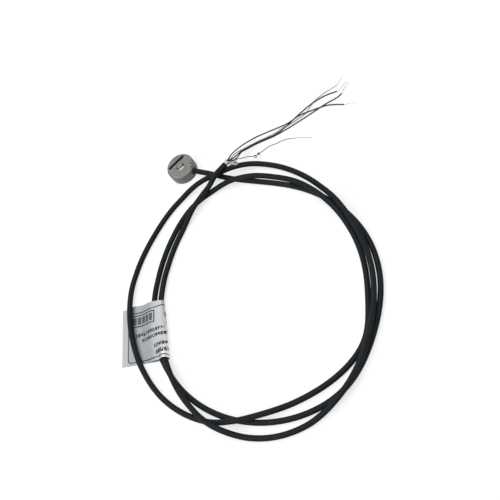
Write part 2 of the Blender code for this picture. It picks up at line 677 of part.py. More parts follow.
def label_section(along, inner, outer):
    """Middle line of the folded film at one section, from the back layer's free edge round the
    outer run and back over both runs to the front layer's free edge."""
    near = np.interp(along, inner[0], inner[1])
    far = np.interp(along, outer[0], outer[1])
    wrap = JACKET_R + LABEL_SLACK + LABEL_FILM / 2
    far_height = np.interp(along, outer[0], outer[2])
    near_height = np.interp(along, inner[0], inner[2])
    crown = far_height + wrap
    middle = (crown + LABEL_LOW) / 2
    span = math.hypot(far - near, far_height - near_height)
    lean = (near_height - far_height) / span * wrap
    rise = (far - near) / span * wrap
    line = [(across, LABEL_LOW) for across in np.linspace(0, far, 6)]
    for angle in np.radians(np.linspace(-75, 75, 11)):
        line.append((far + wrap * math.cos(angle), middle + (crown - middle) * math.sin(angle)))
    line.append((far + min(lean, 0) / 2, crown))
    line.append((far + lean, far_height + rise))
    shoulder = (near + lean, near_height + rise)
    line.append(shoulder)
    flat = LABEL_LOW + LABEL_LAYER
    for share in np.linspace(0.1, 1, 8):
        height = flat + (shoulder[1] - flat) * (1 - share**2 * (3 - 2 * share))
        line.append((shoulder[0] - LABEL_FALL * share, height))
    edge = LABEL_FRONT_EDGE
    line += [(across, flat) for across in np.linspace(shoulder[0] - LABEL_FALL, edge, 4)[1:]]
    return np.array(line)


def thickened(line, thickness):
    """A closed ring round a line, half the thickness to each side of it."""
    tangent = np.gradient(line, axis=0)
    tangent /= np.linalg.norm(tangent, axis=1)[:, None]
    normal = np.stack([-tangent[:, 1], tangent[:, 0]], axis=1) * thickness / 2
    return np.concatenate([line - normal, (line + normal)[::-1]])


def flag_label(material):
    """One strip folded round the two runs, drawn section by section along the cable."""
    inner = run_in_label(LABEL_INNER_RUN)
    outer = run_in_label(LABEL_OUTER_RUN)
    heading = Vector((math.cos(LABEL_HEADING), math.sin(LABEL_HEADING), 0))
    sideways = Vector((-heading.y, heading.x, 0))
    corner = Vector((*LABEL_CORNER, 0))
    work = bmesh.new()
    rings = []
    for along in np.linspace(0, LABEL_LENGTH, LABEL_SECTIONS):
        section = thickened(label_section(along, inner, outer), LABEL_FILM)
        rings.append([
            work.verts.new(corner + heading * along + sideways * across + Vector((0, 0, height)))
            for across, height in section
        ])
    skin(work, rings)
    label = mesh_object("flag_label", work, material)
    label.data.shade_smooth()
    label.data.set_sharp_from_angle(angle=math.radians(40))
    return label


def main():
    clear_scene()
    steel = finish("machined_steel", (0.42, 0.42, 0.40), 1.0, 0.42)
    plate = finish("cover_steel", (0.50, 0.50, 0.49), 1.0, 0.35)
    sealant = finish("sealant", (0.015, 0.015, 0.016), 0.0, 0.55)
    jacket = finish("jacket_black", (0.012, 0.013, 0.015), 0.0, 0.45)
    foil = finish("screen_foil", (0.60, 0.60, 0.60), 1.0, 0.35)
    tinned = finish("tinned_copper", (0.62, 0.61, 0.60), 1.0, 0.3)
    film = finish("label_film", (0.62, 0.63, 0.64), 0.0, 0.3)
    laminate = finish("board_laminate", (0.05, 0.22, 0.10), 0.0, 0.45)
    gauge_film = finish("gauge_film", (0.55, 0.30, 0.08), 0.0, 0.4)
    chip = finish("chip_ceramic", (0.03, 0.03, 0.035), 0.0, 0.4)
    enamel = finish("wire_enamel", (0.45, 0.16, 0.05), 0.0, 0.3)
    insulation = {
        "red": finish("lead_red", (0.20, 0.02, 0.025), 0.0, 0.4),
        "white": finish("lead_white", (0.75, 0.76, 0.74), 0.0, 0.4),
        "black": finish("lead_black", (0.012, 0.012, 0.013), 0.0, 0.4),
        "green": finish("lead_green", (0.02, 0.07, 0.045), 0.0, 0.4),
    }

    cell_body(steel)
    base_cover(plate)
    cable_seal(sealant)
    bridge_board(laminate)
    for number in (1, 2, 3, 4):
        strain_gauge(number, gauge_film)
        gauge_wires(number, enamel)
    compensation_resistor(1, math.radians(135), chip)
    compensation_resistor(2, math.radians(225), chip)

    tube("cable_jacket", cable_points(tube_stations()), JACKET_R, jacket)
    corners = {"red": (1, 1), "white": (1, -1), "black": (-1, 1), "green": (-1, -1)}
    for colour, (across, up) in corners.items():
        core_tail(colour, across, up, insulation[colour])
        lead(f"lead_{colour}", LEAD_ROUTES[colour], LEAD_R, insulation[colour])
        tube(f"tip_{colour}", TIP_ROUTES[colour], TIP_R, tinned)
    lead("drain_wire", DRAIN_ROUTE, DRAIN_R, tinned)
    shield_foil(foil)
    flag_label(film)


main()
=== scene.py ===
"""Button load cell with its cable: the finished look round the fixed frame.

The frame holds the cell and its cable at their real size, in metres: the base of the cell stands
on z = 0, the load button points up and the cable leaves towards +X.
"""

import math

import bmesh
import bpy
import numpy as np
from bpy.props import FloatProperty, FloatVectorProperty, PointerProperty
from mathutils import Matrix, Vector


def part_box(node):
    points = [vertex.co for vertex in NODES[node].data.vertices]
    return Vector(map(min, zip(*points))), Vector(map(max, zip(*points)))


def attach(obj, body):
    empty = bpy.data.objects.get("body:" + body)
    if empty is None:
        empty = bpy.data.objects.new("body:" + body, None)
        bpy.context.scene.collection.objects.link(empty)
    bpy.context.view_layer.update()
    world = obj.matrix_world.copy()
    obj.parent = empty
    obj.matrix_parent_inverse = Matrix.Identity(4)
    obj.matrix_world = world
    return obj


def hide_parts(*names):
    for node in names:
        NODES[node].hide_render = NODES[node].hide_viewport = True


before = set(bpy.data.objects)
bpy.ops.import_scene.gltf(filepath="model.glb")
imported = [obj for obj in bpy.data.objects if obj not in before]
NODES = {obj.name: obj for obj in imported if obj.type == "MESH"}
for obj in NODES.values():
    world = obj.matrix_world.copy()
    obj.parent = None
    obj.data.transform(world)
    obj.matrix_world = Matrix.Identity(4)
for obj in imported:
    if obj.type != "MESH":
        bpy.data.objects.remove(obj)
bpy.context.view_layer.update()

bl_info = {
    "name": "Button load cell",
    "version": (1, 0, 0),
    "blender": (4, 5, 0),
    "location": "View3D > Sidebar > Load cell",
    "description": "Dresses a button load cell with its cable, flag label and stripped leads",
    "category": "Object",
}

BODY = "root"

# Cell, as in the frame
BODY_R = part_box("cell_body")[1].x
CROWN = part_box("cell_body")[1].z
FACE = 0.0080
RIM_CHAMFER = 0.0006
BASE_CHAMFER = 0.0003
BUTTON_R = 0.0023
BUTTON_EDGE = 0.00025
GROOVE_R = 0.00305
GROOVE_FLOOR_R = 0.0025
GROOVE_DEPTH = 0.00028
GROOVE_FILLET = 0.0002
GROOVE_BOTTOM = FACE - GROOVE_DEPTH * 1.2
GROOVE_TOP = FACE - GROOVE_DEPTH * 0.25
POCKET_R = 0.0033
POCKET_ROOF = 0.0066
CHAMBER_R = 0.0074
CHAMBER_ROOF = 0.0050
SEAT_R = 0.0082
SEAT_HEIGHT = 0.0015
EASE = 0.00006
ON_AXIS = 1e-9
SLOT_OFFSET = 0.00465
SLOT_SIDE = math.radians(150)
SLOT_LENGTH = 0.0135
SLOT_WIDTH = 0.00145
SLOT_FLOOR = 0.0059
SLOT_BREAK = 0.0002
# Reach of the painted shade beside the slot
SLOT_SHADE_REACH = 0.0005
DOT_R = 0.0004
DOT_DEPTH = 0.00035
DOT_FROM_AXIS = 0.00885
DOT_ANGLE = math.radians(7)
STAIN_FROM_AXIS = 0.0081
STAIN_ANGLE = math.radians(25.5)
STAIN_FADE = (0.0007, 0.0015)
# Place, fade and top of the painted highlight on the groove's slope
HIGHLIGHT_FROM_AXIS = 0.0026
HIGHLIGHT_ANGLE = math.radians(-38)
HIGHLIGHT_FADE = (0.0017, 0.0025)
HIGHLIGHT_TOP = FACE + 0.00005
TOOL_MARK_PITCH = 0.00022
EXIT_HEIGHT = 0.0040
BORE_R = 0.0021
BORE_START = 0.0066
COUNTERBORE_R = 0.0028
COUNTERBORE_START = 0.0088
SEAL_START = 0.0090
SEAL_END = 0.0102
SEAL_R = 0.00265
SEAL_SLACK = 0.00002
SEAL_DOME = 0.0006
SEAL_EASE = 0.0002
COVER_R = 0.0080
COVER_LOW = 0.00015
COVER_HIGH = 0.00135
COVER_CHAMFER = 0.0002
COVER_MARK_PITCH = 0.0003
GAUGE_LINE = 0.00003

# Cable: route in plan and axis heights by distance along it, as in the frame's source
JACKET_R = 0.00185
CABLE_STEPS = 720
CABLE_SAMPLES = 4000
LEAD_SAMPLES = 600
CABLE_ROUTE = [
    (0.0075, 0), (0.0240, -0.0005), (0.0440, -0.0007), (0.0905, 0.0001), (0.1425, -0.0240),
    (0.1599, -0.0509), (0.1653, -0.0867), (0.1581, -0.1201), (0.1342, -0.1439), (0.1005, -0.1547),
    (0.0625, -0.1487), (0.0291, -0.1213), (0.0130, -0.0801), (0.0124, -0.0478), (0.0200, -0.0229),
    (0.0440, -0.0025), (0.0750, 0.0043), (0.1080, -0.0047), (0.1293, -0.0194), (0.1493, -0.0467),
    (0.1573, -0.0678), (0.1613, -0.0893), (0.1540, -0.1105), (0.1254, -0.1404), (0.0911, -0.1591),
    (0.0508, -0.1564), (0.0173, -0.1318), (-0.0036, -0.0903), (-0.0021, -0.0495), (0.0128, -0.0149),
    (0.0285, -0.0024), (0.0519, 0.0117), (0.0755, 0.0126), (0.0990, 0.0056), (0.1265, -0.0124),
    (0.1509, -0.0408), (0.1634, -0.0822), (0.1591, -0.1213), (0.1302, -0.1555), (0.0850, -0.1616),
    (0.0498, -0.1405), (0.0249, -0.1042), (0.0164, -0.0653), (0.0217, -0.0261), (0.0360, 0.0051),
]
LYING = 0.0019
IN_LABEL = 0.0024
OVER_ONE = 0.0058
CABLE_HEIGHTS = [
    (0, EXIT_HEIGHT), (0.012, EXIT_HEIGHT), (0.032, LYING), (0.371, LYING), (0.388, IN_LABEL),
    (0.428, IN_LABEL), (0.442, LYING), (0.509, LYING), (0.533, OVER_ONE), (0.542, OVER_ONE),
    (0.561, 0.0038), (0.584, 0.0056), (0.591, OVER_ONE), (0.609, OVER_ONE), (0.637, LYING),
    (0.759, LYING), (0.787, OVER_ONE), (0.798, OVER_ONE), (0.817, LYING), (0.868, LYING),
    (0.883, 0.0026), (0.932, 0.0026), (0.947, LYING), (1.004, LYING), (1.032, 0.0071),
    (1.044, 0.0071), (1.077, LYING), (1.115, LYING), (1.138, 0.0070), (1.149, 0.0070),
    (1.169, 0.0049), (1.191, 0.0042), (1.207, 0.0044), (1.227, OVER_ONE), (1.267, OVER_ONE),
    (1.296, LYING), (1.331, LYING), (1.352, 0.0064), (1.362, 0.0063), (1.374, 0.0047),
    (1.387, 0.0059), (1.399, 0.0059), (1.410, 0.0053), (1.418, 0.0047), (1.429, 0.00335),
    (1.445, IN_LABEL), (1.466, IN_LABEL), (1.481, LYING), (1.503, LYING), (1.527, 0.0059),
    (1.537, 0.0066), (1.551, 0.0110), (1.600, 0.0110),
]

# Leads past the jacket's end, a little thicker than the frame's, so that they show as in the photo
LEAD_R = 0.00046
LEAD_SPACING = 0.0012
LEAD_TUCK = 0.0006
LEAD_ROUTES = {
    "red": [
        (0.0358, 0.0056, 0.0115), (0.0366, 0.0073, 0.0115), (0.0370, 0.0114, 0.01075),
        (0.0373, 0.0151, 0.0092), (0.0382, 0.0192, 0.00725), (0.0391, 0.0231, 0.0051),
        (0.0403, 0.0267, 0.0031), (0.0424, 0.0303, 0.0016), (0.0450, 0.0335, 0.0007),
        (0.0482, 0.0359, 0.0005), (0.0521, 0.0385, 0.00055), (0.0562, 0.0409, 0.00085),
        (0.0630, 0.0447, 0.00165), (0.0670, 0.0474, 0.0023), (0.0693, 0.0498, 0.0026),
        (0.0715, 0.0524, 0.00245), (0.0739, 0.0549, 0.0018), (0.0776, 0.0580, 0.0009),
        (0.0825, 0.0612, 0.0005), (0.0871, 0.0637, 0.0005), (0.0919, 0.0651, 0.00055),
        (0.0962, 0.0658, 0.00055), (0.1005, 0.0662, 0.0006),
    ],
    "white": [
        (0.0358, 0.0056, 0.0105), (0.0366, 0.0073, 0.0105), (0.0382, 0.0117, 0.0099),
        (0.0390, 0.0152, 0.0087), (0.0401, 0.0182, 0.0071), (0.0416, 0.0211, 0.0053),
        (0.0436, 0.0246, 0.00345), (0.0474, 0.0293, 0.00185), (0.0496, 0.0321, 0.0008),
        (0.0527, 0.0345, 0.0005), (0.0559, 0.0370, 0.0005), (0.0590, 0.0395, 0.0005),
        (0.0622, 0.0435, 0.0005), (0.0654, 0.0457, 0.0005), (0.0689, 0.0489, 0.0005),
        (0.0718, 0.0521, 0.0005), (0.0746, 0.0552, 0.0005), (0.0761, 0.0589, 0.0005),
        (0.0770, 0.0631, 0.0005), (0.0784, 0.0669, 0.00055), (0.0806, 0.0699, 0.0006),
        (0.0829, 0.0731, 0.0005), (0.0867, 0.0769, 0.0005), (0.0904, 0.0806, 0.0005),
    ],
    "black": [
        (0.0366, 0.0052, 0.0115), (0.0375, 0.0069, 0.0115), (0.0398, 0.0101, 0.01085),
        (0.0408, 0.0132, 0.00965), (0.0422, 0.0176, 0.00795), (0.0434, 0.0209, 0.0059),
        (0.0452, 0.0247, 0.0038), (0.0482, 0.0289, 0.0020), (0.0508, 0.0312, 0.0014),
        (0.0541, 0.0334, 0.00135), (0.0573, 0.0356, 0.00135), (0.0601, 0.0379, 0.0014),
        (0.0637, 0.0423, 0.0014), (0.0663, 0.0463, 0.0014), (0.0682, 0.0496, 0.0014),
        (0.0707, 0.0538, 0.0014), (0.0727, 0.0569, 0.00135), (0.0748, 0.0601, 0.00135),
        (0.0769, 0.0630, 0.00135), (0.0791, 0.0656, 0.00125), (0.0819, 0.0686, 0.00105),
        (0.0866, 0.0726, 0.0008), (0.0924, 0.0760, 0.0005),
    ],
    "green": [
        (0.0366, 0.0052, 0.0105), (0.0375, 0.0069, 0.0105), (0.0409, 0.0097, 0.01015),
        (0.0419, 0.0131, 0.0088), (0.0421, 0.0175, 0.00705), (0.0433, 0.0207, 0.00495),
        (0.0452, 0.0245, 0.0029), (0.0482, 0.0288, 0.00105), (0.0509, 0.0311, 0.00055),
        (0.0541, 0.0333, 0.0005), (0.0574, 0.0355, 0.0005), (0.0602, 0.0378, 0.0005),
        (0.0646, 0.0417, 0.0005), (0.0674, 0.0443, 0.0005), (0.0697, 0.0467, 0.0005),
        (0.0743, 0.0514, 0.0005), (0.0783, 0.0556, 0.0005), (0.0812, 0.0586, 0.00065),
        (0.0842, 0.0613, 0.0011), (0.0872, 0.0642, 0.0014), (0.0918, 0.0685, 0.0012),
        (0.0950, 0.0721, 0.00085), (0.0961, 0.0747, 0.0005),
    ],
}
TIP_R = 0.00025
TIP_SPACING = 0.00025
TIP_TAPER = 0.35
TIP_TAPER_FROM = 0.75
STRANDS = 7
STRAND_TWIST = 0.0024
TIP_ROUTES = {
    "red": [
        (0.1008, 0.0662, 0.0005), (0.1037, 0.0677, 0.0005), (0.1065, 0.0682, 0.0005),
        (0.1098, 0.0681, 0.0005),
    ],
    "white": [
        (0.0906, 0.0809, 0.0005), (0.0910, 0.0828, 0.0005), (0.0916, 0.0853, 0.0005),
        (0.0923, 0.0883, 0.0005),
    ],
    "black": [
        (0.0927, 0.0762, 0.0005), (0.0941, 0.0791, 0.0005), (0.0956, 0.0819, 0.0005),
        (0.0972, 0.0848, 0.0005),
    ],
    "green": [
        (0.0962, 0.0750, 0.0005), (0.0964, 0.0771, 0.0005), (0.0970, 0.0800, 0.0005),
        (0.0988, 0.0837, 0.0005),
    ],
}
DRAIN_R = 0.00027
DRAIN_ROUTE = [
    (0.0371, 0.0049, 0.0110), (0.0381, 0.0068, 0.0110), (0.0416, 0.0089, 0.01015),
    (0.0423, 0.0106, 0.0094), (0.0436, 0.0121, 0.00805), (0.0455, 0.0141, 0.0067),
    (0.0476, 0.0158, 0.00535), (0.0495, 0.0169, 0.00405), (0.0517, 0.0185, 0.0029),
    (0.0525, 0.0207, 0.0019), (0.0532, 0.0225, 0.0012), (0.0547, 0.0246, 0.0007),
    (0.0563, 0.0266, 0.0005), (0.0583, 0.0287, 0.0004), (0.0609, 0.0304, 0.0004),
    (0.0635, 0.0322, 0.0004), (0.0662, 0.0339, 0.0004), (0.0702, 0.0358, 0.0004),
    (0.0738, 0.0368, 0.0004), (0.0788, 0.0377, 0.0004), (0.0824, 0.0382, 0.0005),
    (0.0858, 0.0385, 0.0005),
]
DRAIN_SPACING = 0.0002
DRAIN_SWAY = 0.00015
DRAIN_WAVE = 0.0019
DRAIN_STRAIGHT = 0.006
CLEAN_DRAIN = (0.068, 0.076)
LOOP_PLACE = 0.0216
LOOP_R = 0.0010
LOOP_LIFT = 2.2 * DRAIN_R
LOOP_FADE = 0.006
TWIST_START = 0.0236
TWIST_LENGTH = 0.0019
TWIST_R = 0.0009
TWIST_TURNS = 3.0

# Foil wrap at the cut end
FOIL_R = 0.0015
FOIL_LENGTH = 0.0025
FOIL_FILM = 0.00004
FOIL_FLARE = 0.0004
FOIL_TUCK = 0.0004
FOIL_TOOTH = 0.0007
FOIL_CRINKLE = 0.00003
FOIL_LOBES = 5
FOIL_LOBE = 0.00012
FOIL_ROWS = 14
FOIL_COLUMNS = 56
# The torn tongue's way: shares of the cable's heading, its right side and up
TONGUE_WAY = (0.74, 0.67, -0.12)
TONGUE_LENGTH = 0.0050
TONGUE_ROUND = 0.22
TONGUE_ROWS = 16
TONGUE_COLUMNS = 9
TONGUE_TOOTH = 0.0006
TONGUE_FLARE = 0.0005
TONGUE_CURL = 0.0013
TONGUE_SAG = 0.0010
TONGUE_CRINKLE = 0.00007

# Flag label, folded round two runs of the cable
LABEL_CORNER = (-0.0043, -0.1076)
LABEL_HEADING = math.radians(-66.5)
LABEL_LENGTH = 0.0395
LABEL_FILM = 0.00012
LABEL_LOW = 0.00017
LABEL_LAYER = 0.00022
LABEL_SLACK = 0.00030
LABEL_FRONT_EDGE = 0.0033
LABEL_BACK_EDGE = -0.0007
LABEL_BULGE = 0.0024
LABEL_SKEW = 0.0016
LABEL_SKEW_OVER = 0.040
LABEL_FALL = 0.0110
LABEL_LEAST_TILT = 0.05
LABEL_SECTIONS = 41
LABEL_INNER_RUN = (0.375, 0.432)
LABEL_OUTER_RUN = (1.405, 1.462)

# Print on the film: distances from the front free edge, and from the upper end
FRAME_LEFT = 0.0006
FRAME_RIGHT = 0.0500
FRAME_LOW = 0.0038
FRAME_HIGH = 0.0376
FRAME_CORNER = 0.0022
FRAME_RISE = 0.0016
FRAME_RISING = (0.0210, 0.0310)
BOX_OUTSIDE = ((0.0008, 0.0225), (0.0053, 0.0138))
BOX_INSIDE = ((0.0016, 0.0217), (0.0061, 0.0130))
BLOCKS = ((0.0020, 0.0213), (0.0070, 0.0121))
BLOCK_PITCH = 0.0036
BLOCK_SHARE = 0.80
BLOCK_INK = 0.82
PRINT_TILT = 0.08
MARK_SHARE = 0.84
MARK_CELLS = (3.5, 3)
EMPTY_CELLS = 0.22
# Bands of painted sheen towards the fold, across the film
PAINTED_SHEEN = (0.0190, 0.0250)
PAINTED_SHEEN_AT_FOLD = (0.0285, 0.0335)
POLISHED = (0.0290, 0.0320)
TURNED_UNDER = (0.0365, 0.0400)
# Start, stop, middle, height and pitch of the marks in each row
PRINT_ROWS = (
    (0.0058, 0.0152, 0.0200, 0.0028, 0.0024),
    (0.0160, 0.0300, 0.0196, 0.0024, 0.0021),
    (0.0102, 0.0318, 0.0240, 0.0023, 0.0021),
    (0.0221, 0.0330, 0.0300, 0.0025, 0.0022),
    (0.0231, 0.0345, 0.0345, 0.0028, 0.0028),
    (0.0290, 0.0318, 0.0095, 0.0030, 0.0030),
)

# Fixed colours
# Colour of the painted highlight in the groove
PAINTED_HIGHLIGHT = (0.98, 0.98, 0.96)
DOT_SHADE = (0.03, 0.03, 0.03)
SLOT_SHADE = (0.034, 0.035, 0.034)
SEALANT = (0.010, 0.010, 0.011)
TIN = ((0.40, 0.38, 0.36), (0.62, 0.62, 0.61))
TARNISHED_TIN = ((0.035, 0.034, 0.033), (0.085, 0.085, 0.085))
CLEAN_TIN = (0.42, 0.42, 0.42)
FOIL = ((0.20, 0.21, 0.215), (0.46, 0.47, 0.475))
# Colour of the painted sheen towards the label's fold
PAINTED_SHEEN_COLOUR = (0.80, 0.82, 0.83)
BOARD = (0.05, 0.22, 0.10)
ENAMEL = (0.45, 0.16, 0.05)
GAUGE_FILM = ((0.50, 0.26, 0.06), (0.60, 0.33, 0.09))
GAUGE_METAL = (0.62, 0.60, 0.55)
CHIP = ((0.03, 0.03, 0.034), (0.06, 0.06, 0.065))

# Camera and stage
LENS = 56.16
SENSOR = 36.0
CAMERA_AIM = (0.07003, -0.04813, 0.00024)
CAMERA_SIDE = math.radians(-32.93)
CAMERA_RISE = math.radians(58.3)
CAMERA_ROLL = math.radians(-41.6)
CAMERA_DISTANCE = 0.507
FLOOR_SIZE = 6.0
FLOOR_DROP = 0.00002
LOOPS_FROM_CELL = 0.1
LOOPS_SIDE = math.radians(-45)
GLOW_FADE = (0.25, 0.8)
LIT_POINT = (0.08, -0.07, 0)
# Width of the disk, side and rise in degrees, and distance of each lamp
LAMPS = {"key": (1.4, 160, 80, 1.0), "fill": (0.7, -110, 35, 1.1)}


class CellLook(bpy.types.PropertyGroup):
    """Colours and finish of the cell's own metal."""

    metal: FloatVectorProperty(
        name="Metal", description="Colour of the turned body", subtype="COLOR", size=3,
        min=0, max=1, default=(0.172, 0.172, 0.158),
    )
    # The edge colour is painted shade on the rim chamfer
    edge: FloatVectorProperty(
        name="Edges", description="Colour of the rubbed chamfer and button rim", subtype="COLOR",
        size=3, min=0, max=1, default=(0.13, 0.13, 0.12),
    )
    roughness: FloatProperty(
        name="Roughness", description="Roughness of the turned face", subtype="FACTOR",
        min=0, max=1, default=0.46,
    )
    metallic: FloatProperty(
        name="Metallic", description="How much the face mirrors what is round it",
        subtype="FACTOR", min=0, max=1, default=0.35,
    )


class CableLook(bpy.types.PropertyGroup):
    """Colours and finish of the cable and its leads."""

    jacket: FloatVectorProperty(
        name="Jacket", description="Colour of the round jacket", subtype="COLOR", size=3,
        min=0, max=1, default=(0.0112, 0.0140, 0.0158),
    )
    jacket_roughness: FloatProperty(
        name="Jacket roughness", description="Roughness of the round jacket", subtype="FACTOR",
        min=0, max=1, default=0.52,
    )
    red: FloatVectorProperty(
        name="Red lead", description="Colour of the dark red insulation", subtype="COLOR", size=3,
        min=0, max=1, default=(0.050, 0.010, 0.014),
    )
    white: FloatVectorProperty(
        name="White lead", description="Colour of the white insulation", subtype="COLOR", size=3,
        min=0, max=1, default=(0.60, 0.62, 0.61),
    )
    black: FloatVectorProperty(
        name="Black lead", description="Colour of the black insulation", subtype="COLOR", size=3,
        min=0, max=1, default=(0.0035, 0.0045, 0.0050),
    )
    green: FloatVectorProperty(
        name="Green lead", description="Colour of the dark green insulation", subtype="COLOR",
        size=3, min=0, max=1, default=(0.012, 0.028, 0.023),
    )


class LabelLook(bpy.types.PropertyGroup):
    """Colours and printed fields of the flag label."""

    film: FloatVectorProperty(
        name="Film", description="Colour of the label's silver film", subtype="COLOR", size=3,
        min=0, max=1, default=(0.350, 0.370, 0.383),
    )
    ink: FloatVectorProperty(
        name="Ink", description="Colour of the printed fields", subtype="COLOR", size=3,
        min=0, max=1, default=(0.012, 0.014, 0.018),
    )
    back: FloatVectorProperty(
        name="Inner side", description="Colour of the film's plain inner side", subtype="COLOR",
        size=3, min=0, max=1, default=(0.415, 0.44, 0.435),
    )
    line: FloatProperty(
        name="Frame line", description="Width of the printed frame", subtype="DISTANCE",
        unit="LENGTH", min=0.0001, max=0.002, default=0.0007,
    )


class StageLook(bpy.types.PropertyGroup):
    """Floor, lamps and world."""

    floor: FloatVectorProperty(
        name="Floor", description="Colour of the plain floor", subtype="COLOR", size=3,
        min=0, max=1, default=(0.38, 0.38, 0.38),
    )
    key: FloatProperty(
        name="Key lamp", description="Power of the large lamp above", subtype="POWER", unit="POWER",
        min=0, max=100, default=8.6,
    )
    fill: FloatProperty(
        name="Fill lamp", description="Power of the side lamp", subtype="POWER", unit="POWER",
        min=0, max=100, default=4.0,
    )
    sky: FloatProperty(
        name="Sky", description="Strength of the world's pale light", min=0, max=4, default=0.35,
    )
    glow: FloatProperty(
        name="Floor glow", description="White that the floor adds where it is looked at",
        min=0, max=1, default=0.66,
    )


def looks():
    scene = bpy.context.scene
    return scene.cell_look, scene.cable_look, scene.label_look, scene.stage_look


def link(name, data):
    obj = bpy.data.objects.new(name, data)
    bpy.context.scene.collection.objects.link(obj)
    return obj


def mesh_piece(name, work, sharp_angle=35):
    """Turns a bmesh into a piece, faces out and shaded smooth up to its sharp edges."""
    bmesh.ops.recalc_face_normals(work, faces=work.faces)
    mesh = bpy.data.meshes.new(name)
    work.to_mesh(mesh)
    work.free()
    mesh.shade_smooth()
    mesh.set_sharp_from_angle(angle=math.radians(sharp_angle))
    return link(name, mesh)


def dress(obj, material, slot, *replaced):
    """Gives a piece its material and its body, and hides the nodes that it stands for. The slot is
    not used.
    """
    obj.data.materials.clear()
    obj.data.materials.append(material)
    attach(obj, BODY)
    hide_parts(*replaced)


class Finish:
    """A procedural material with short ways to add and join its nodes."""

    def __init__(self, name):
        self.material = bpy.data.materials.new(name)
        self.material.use_nodes = True
        self.tree = self.material.node_tree
        self.shader = self.tree.nodes["Principled BSDF"]

    def node(self, kind, **settings):
        made = self.tree.nodes.new(kind)
        for key, value in settings.items():
            setattr(made, key, value)
        return made

    def join(self, source, target):
        self.tree.links.new(source, target)

    def set(self, **values):
        """Sets numbers on the shader's own sockets."""
        for key, value in values.items():
            self.shader.inputs[key.replace("_", " ")].default_value = value

    def drive(self, socket, value):
        """Joins a value that changes over the surface to one of the shader's own sockets."""
        self.join(value, self.shader.inputs[socket])

    def math(self, operation, first, second=None, third=None):
        made = self.node("ShaderNodeMath", operation=operation)
        for socket, value in zip(made.inputs, (first, second, third)):
            self.feed(value, socket)
        return made.outputs[0]

    def product(self, first, *others):
        for value in others:
            first = self.math("MULTIPLY", first, value)
        return first

    def within(self, value, low, high):
        """1 between two limits, 0 outside."""
        return self.product(
            self.math("GREATER_THAN", value, low), self.math("LESS_THAN", value, high),
        )

    def away(self, x, y):
        """Distance of the point (x, y) from (0, 0)."""
        return self.math("SQRT", self.math("ADD", self.product(x, x), self.product(y, y)))

    def near_point(self, parts, distance, angle, core, fade):
        """1 within core of a point at a distance and angle from the axis, falling to 0 at fade."""
        x = self.math("SUBTRACT", parts["X"], distance * math.cos(angle))
        y = self.math("SUBTRACT", parts["Y"], distance * math.sin(angle))
        return self.spread(self.away(x, y), 1, 0, core, fade)

    def feed(self, value, socket):
        if value is None:
            return
        if isinstance(value, (int, float)):
            socket.default_value = value
        else:
            self.join(value, socket)

    def place(self):
        """The three numbers of the point in the piece's own space."""
        parts = self.node("ShaderNodeSeparateXYZ")
        self.join(self.node("ShaderNodeTexCoord").outputs["Object"], parts.inputs[0])
        return parts.outputs

    def noise(self, scale, detail=2.0, roughness=0.5):
        made = self.node("ShaderNodeTexNoise")
        made.inputs["Scale"].default_value = scale
        made.inputs["Detail"].default_value = detail
        made.inputs["Roughness"].default_value = roughness
        self.join(self.node("ShaderNodeTexCoord").outputs["Object"], made.inputs["Vector"])
        return made.outputs["Fac"]

    def spread(self, value, low, high, start=0.3, end=0.7):
        """Maps a value from one range to another, clamped."""
        made = self.node("ShaderNodeMapRange")
        for socket, number in zip(made.inputs, (value, start, end, low, high)):
            self.feed(number, socket)
        return made.outputs[0]

    def blend(self, share, first, second):
        made = self.node("ShaderNodeMix", data_type="RGBA")
        self.feed(share, made.inputs["Factor"])
        colours = [socket for socket in made.inputs if socket.type == "RGBA"]
        for value, socket in zip((first, second), colours):
            if isinstance(value, tuple):
                socket.default_value = (*value, 1)
            else:
                self.join(value, socket)
        return next(socket for socket in made.outputs if socket.type == "RGBA")

    def bump(self, height, distance, strength=1.0):
        made = self.node("ShaderNodeBump")
        made.inputs["Strength"].default_value = strength
        made.inputs["Distance"].default_value = distance
        self.join(height, made.inputs["Height"])
        self.join(made.outputs[0], self.shader.inputs["Normal"])


def shade(colour, factor):
    return tuple(min(1.0, part * factor) for part in colour)


def natural_spline(knots, points, at):
    """A natural cubic spline through the points, read at the given parameters."""
    count = len(knots)
    step = np.diff(knots)
    slopes = np.diff(points, axis=0) / step[:, None]
    system = np.eye(count)
    bends = np.zeros_like(points)
    for i in range(1, count - 1):
        system[i, i - 1 : i + 2] = step[i - 1], 2 * (step[i - 1] + step[i]), step[i]
        bends[i] = 6 * (slopes[i] - slopes[i - 1])
    bends = np.linalg.solve(system, bends)
    k = np.clip(np.searchsorted(knots, at, side="right") - 1, 0, count - 2)
    before = (knots[k + 1] - at)[:, None]
    after = (at - knots[k])[:, None]
    h = step[k][:, None]
    curved = (bends[k] * before**3 + bends[k + 1] * after**3) / (6 * h)
    straight = (points[k] / h - bends[k] * h / 6) * before
    return curved + straight + (points[k + 1] / h - bends[k + 1] * h / 6) * after


def measured(points):
    """Distance along a path at each of its points."""
    return np.concatenate([[0], np.cumsum(np.linalg.norm(np.diff(points, axis=0), axis=1))])


def smooth_line(route, samples):
    """The smooth curve through a route's points: its finely spaced points and their distances."""
    points = np.array(route, float)
    knots = measured(points)
    line = natural_spline(knots, points, np.linspace(0, knots[-1], samples))
    return line, measured(line)


def evenly(route, spacing):
    """Points a given distance apart on the smooth curve through a route."""
    line, along = smooth_line(route, LEAD_SAMPLES)
    distances = np.linspace(0, along[-1], round(along[-1] / spacing) + 1)
    return np.stack([np.interp(distances, along, line[:, axis]) for axis in range(3)], axis=1)


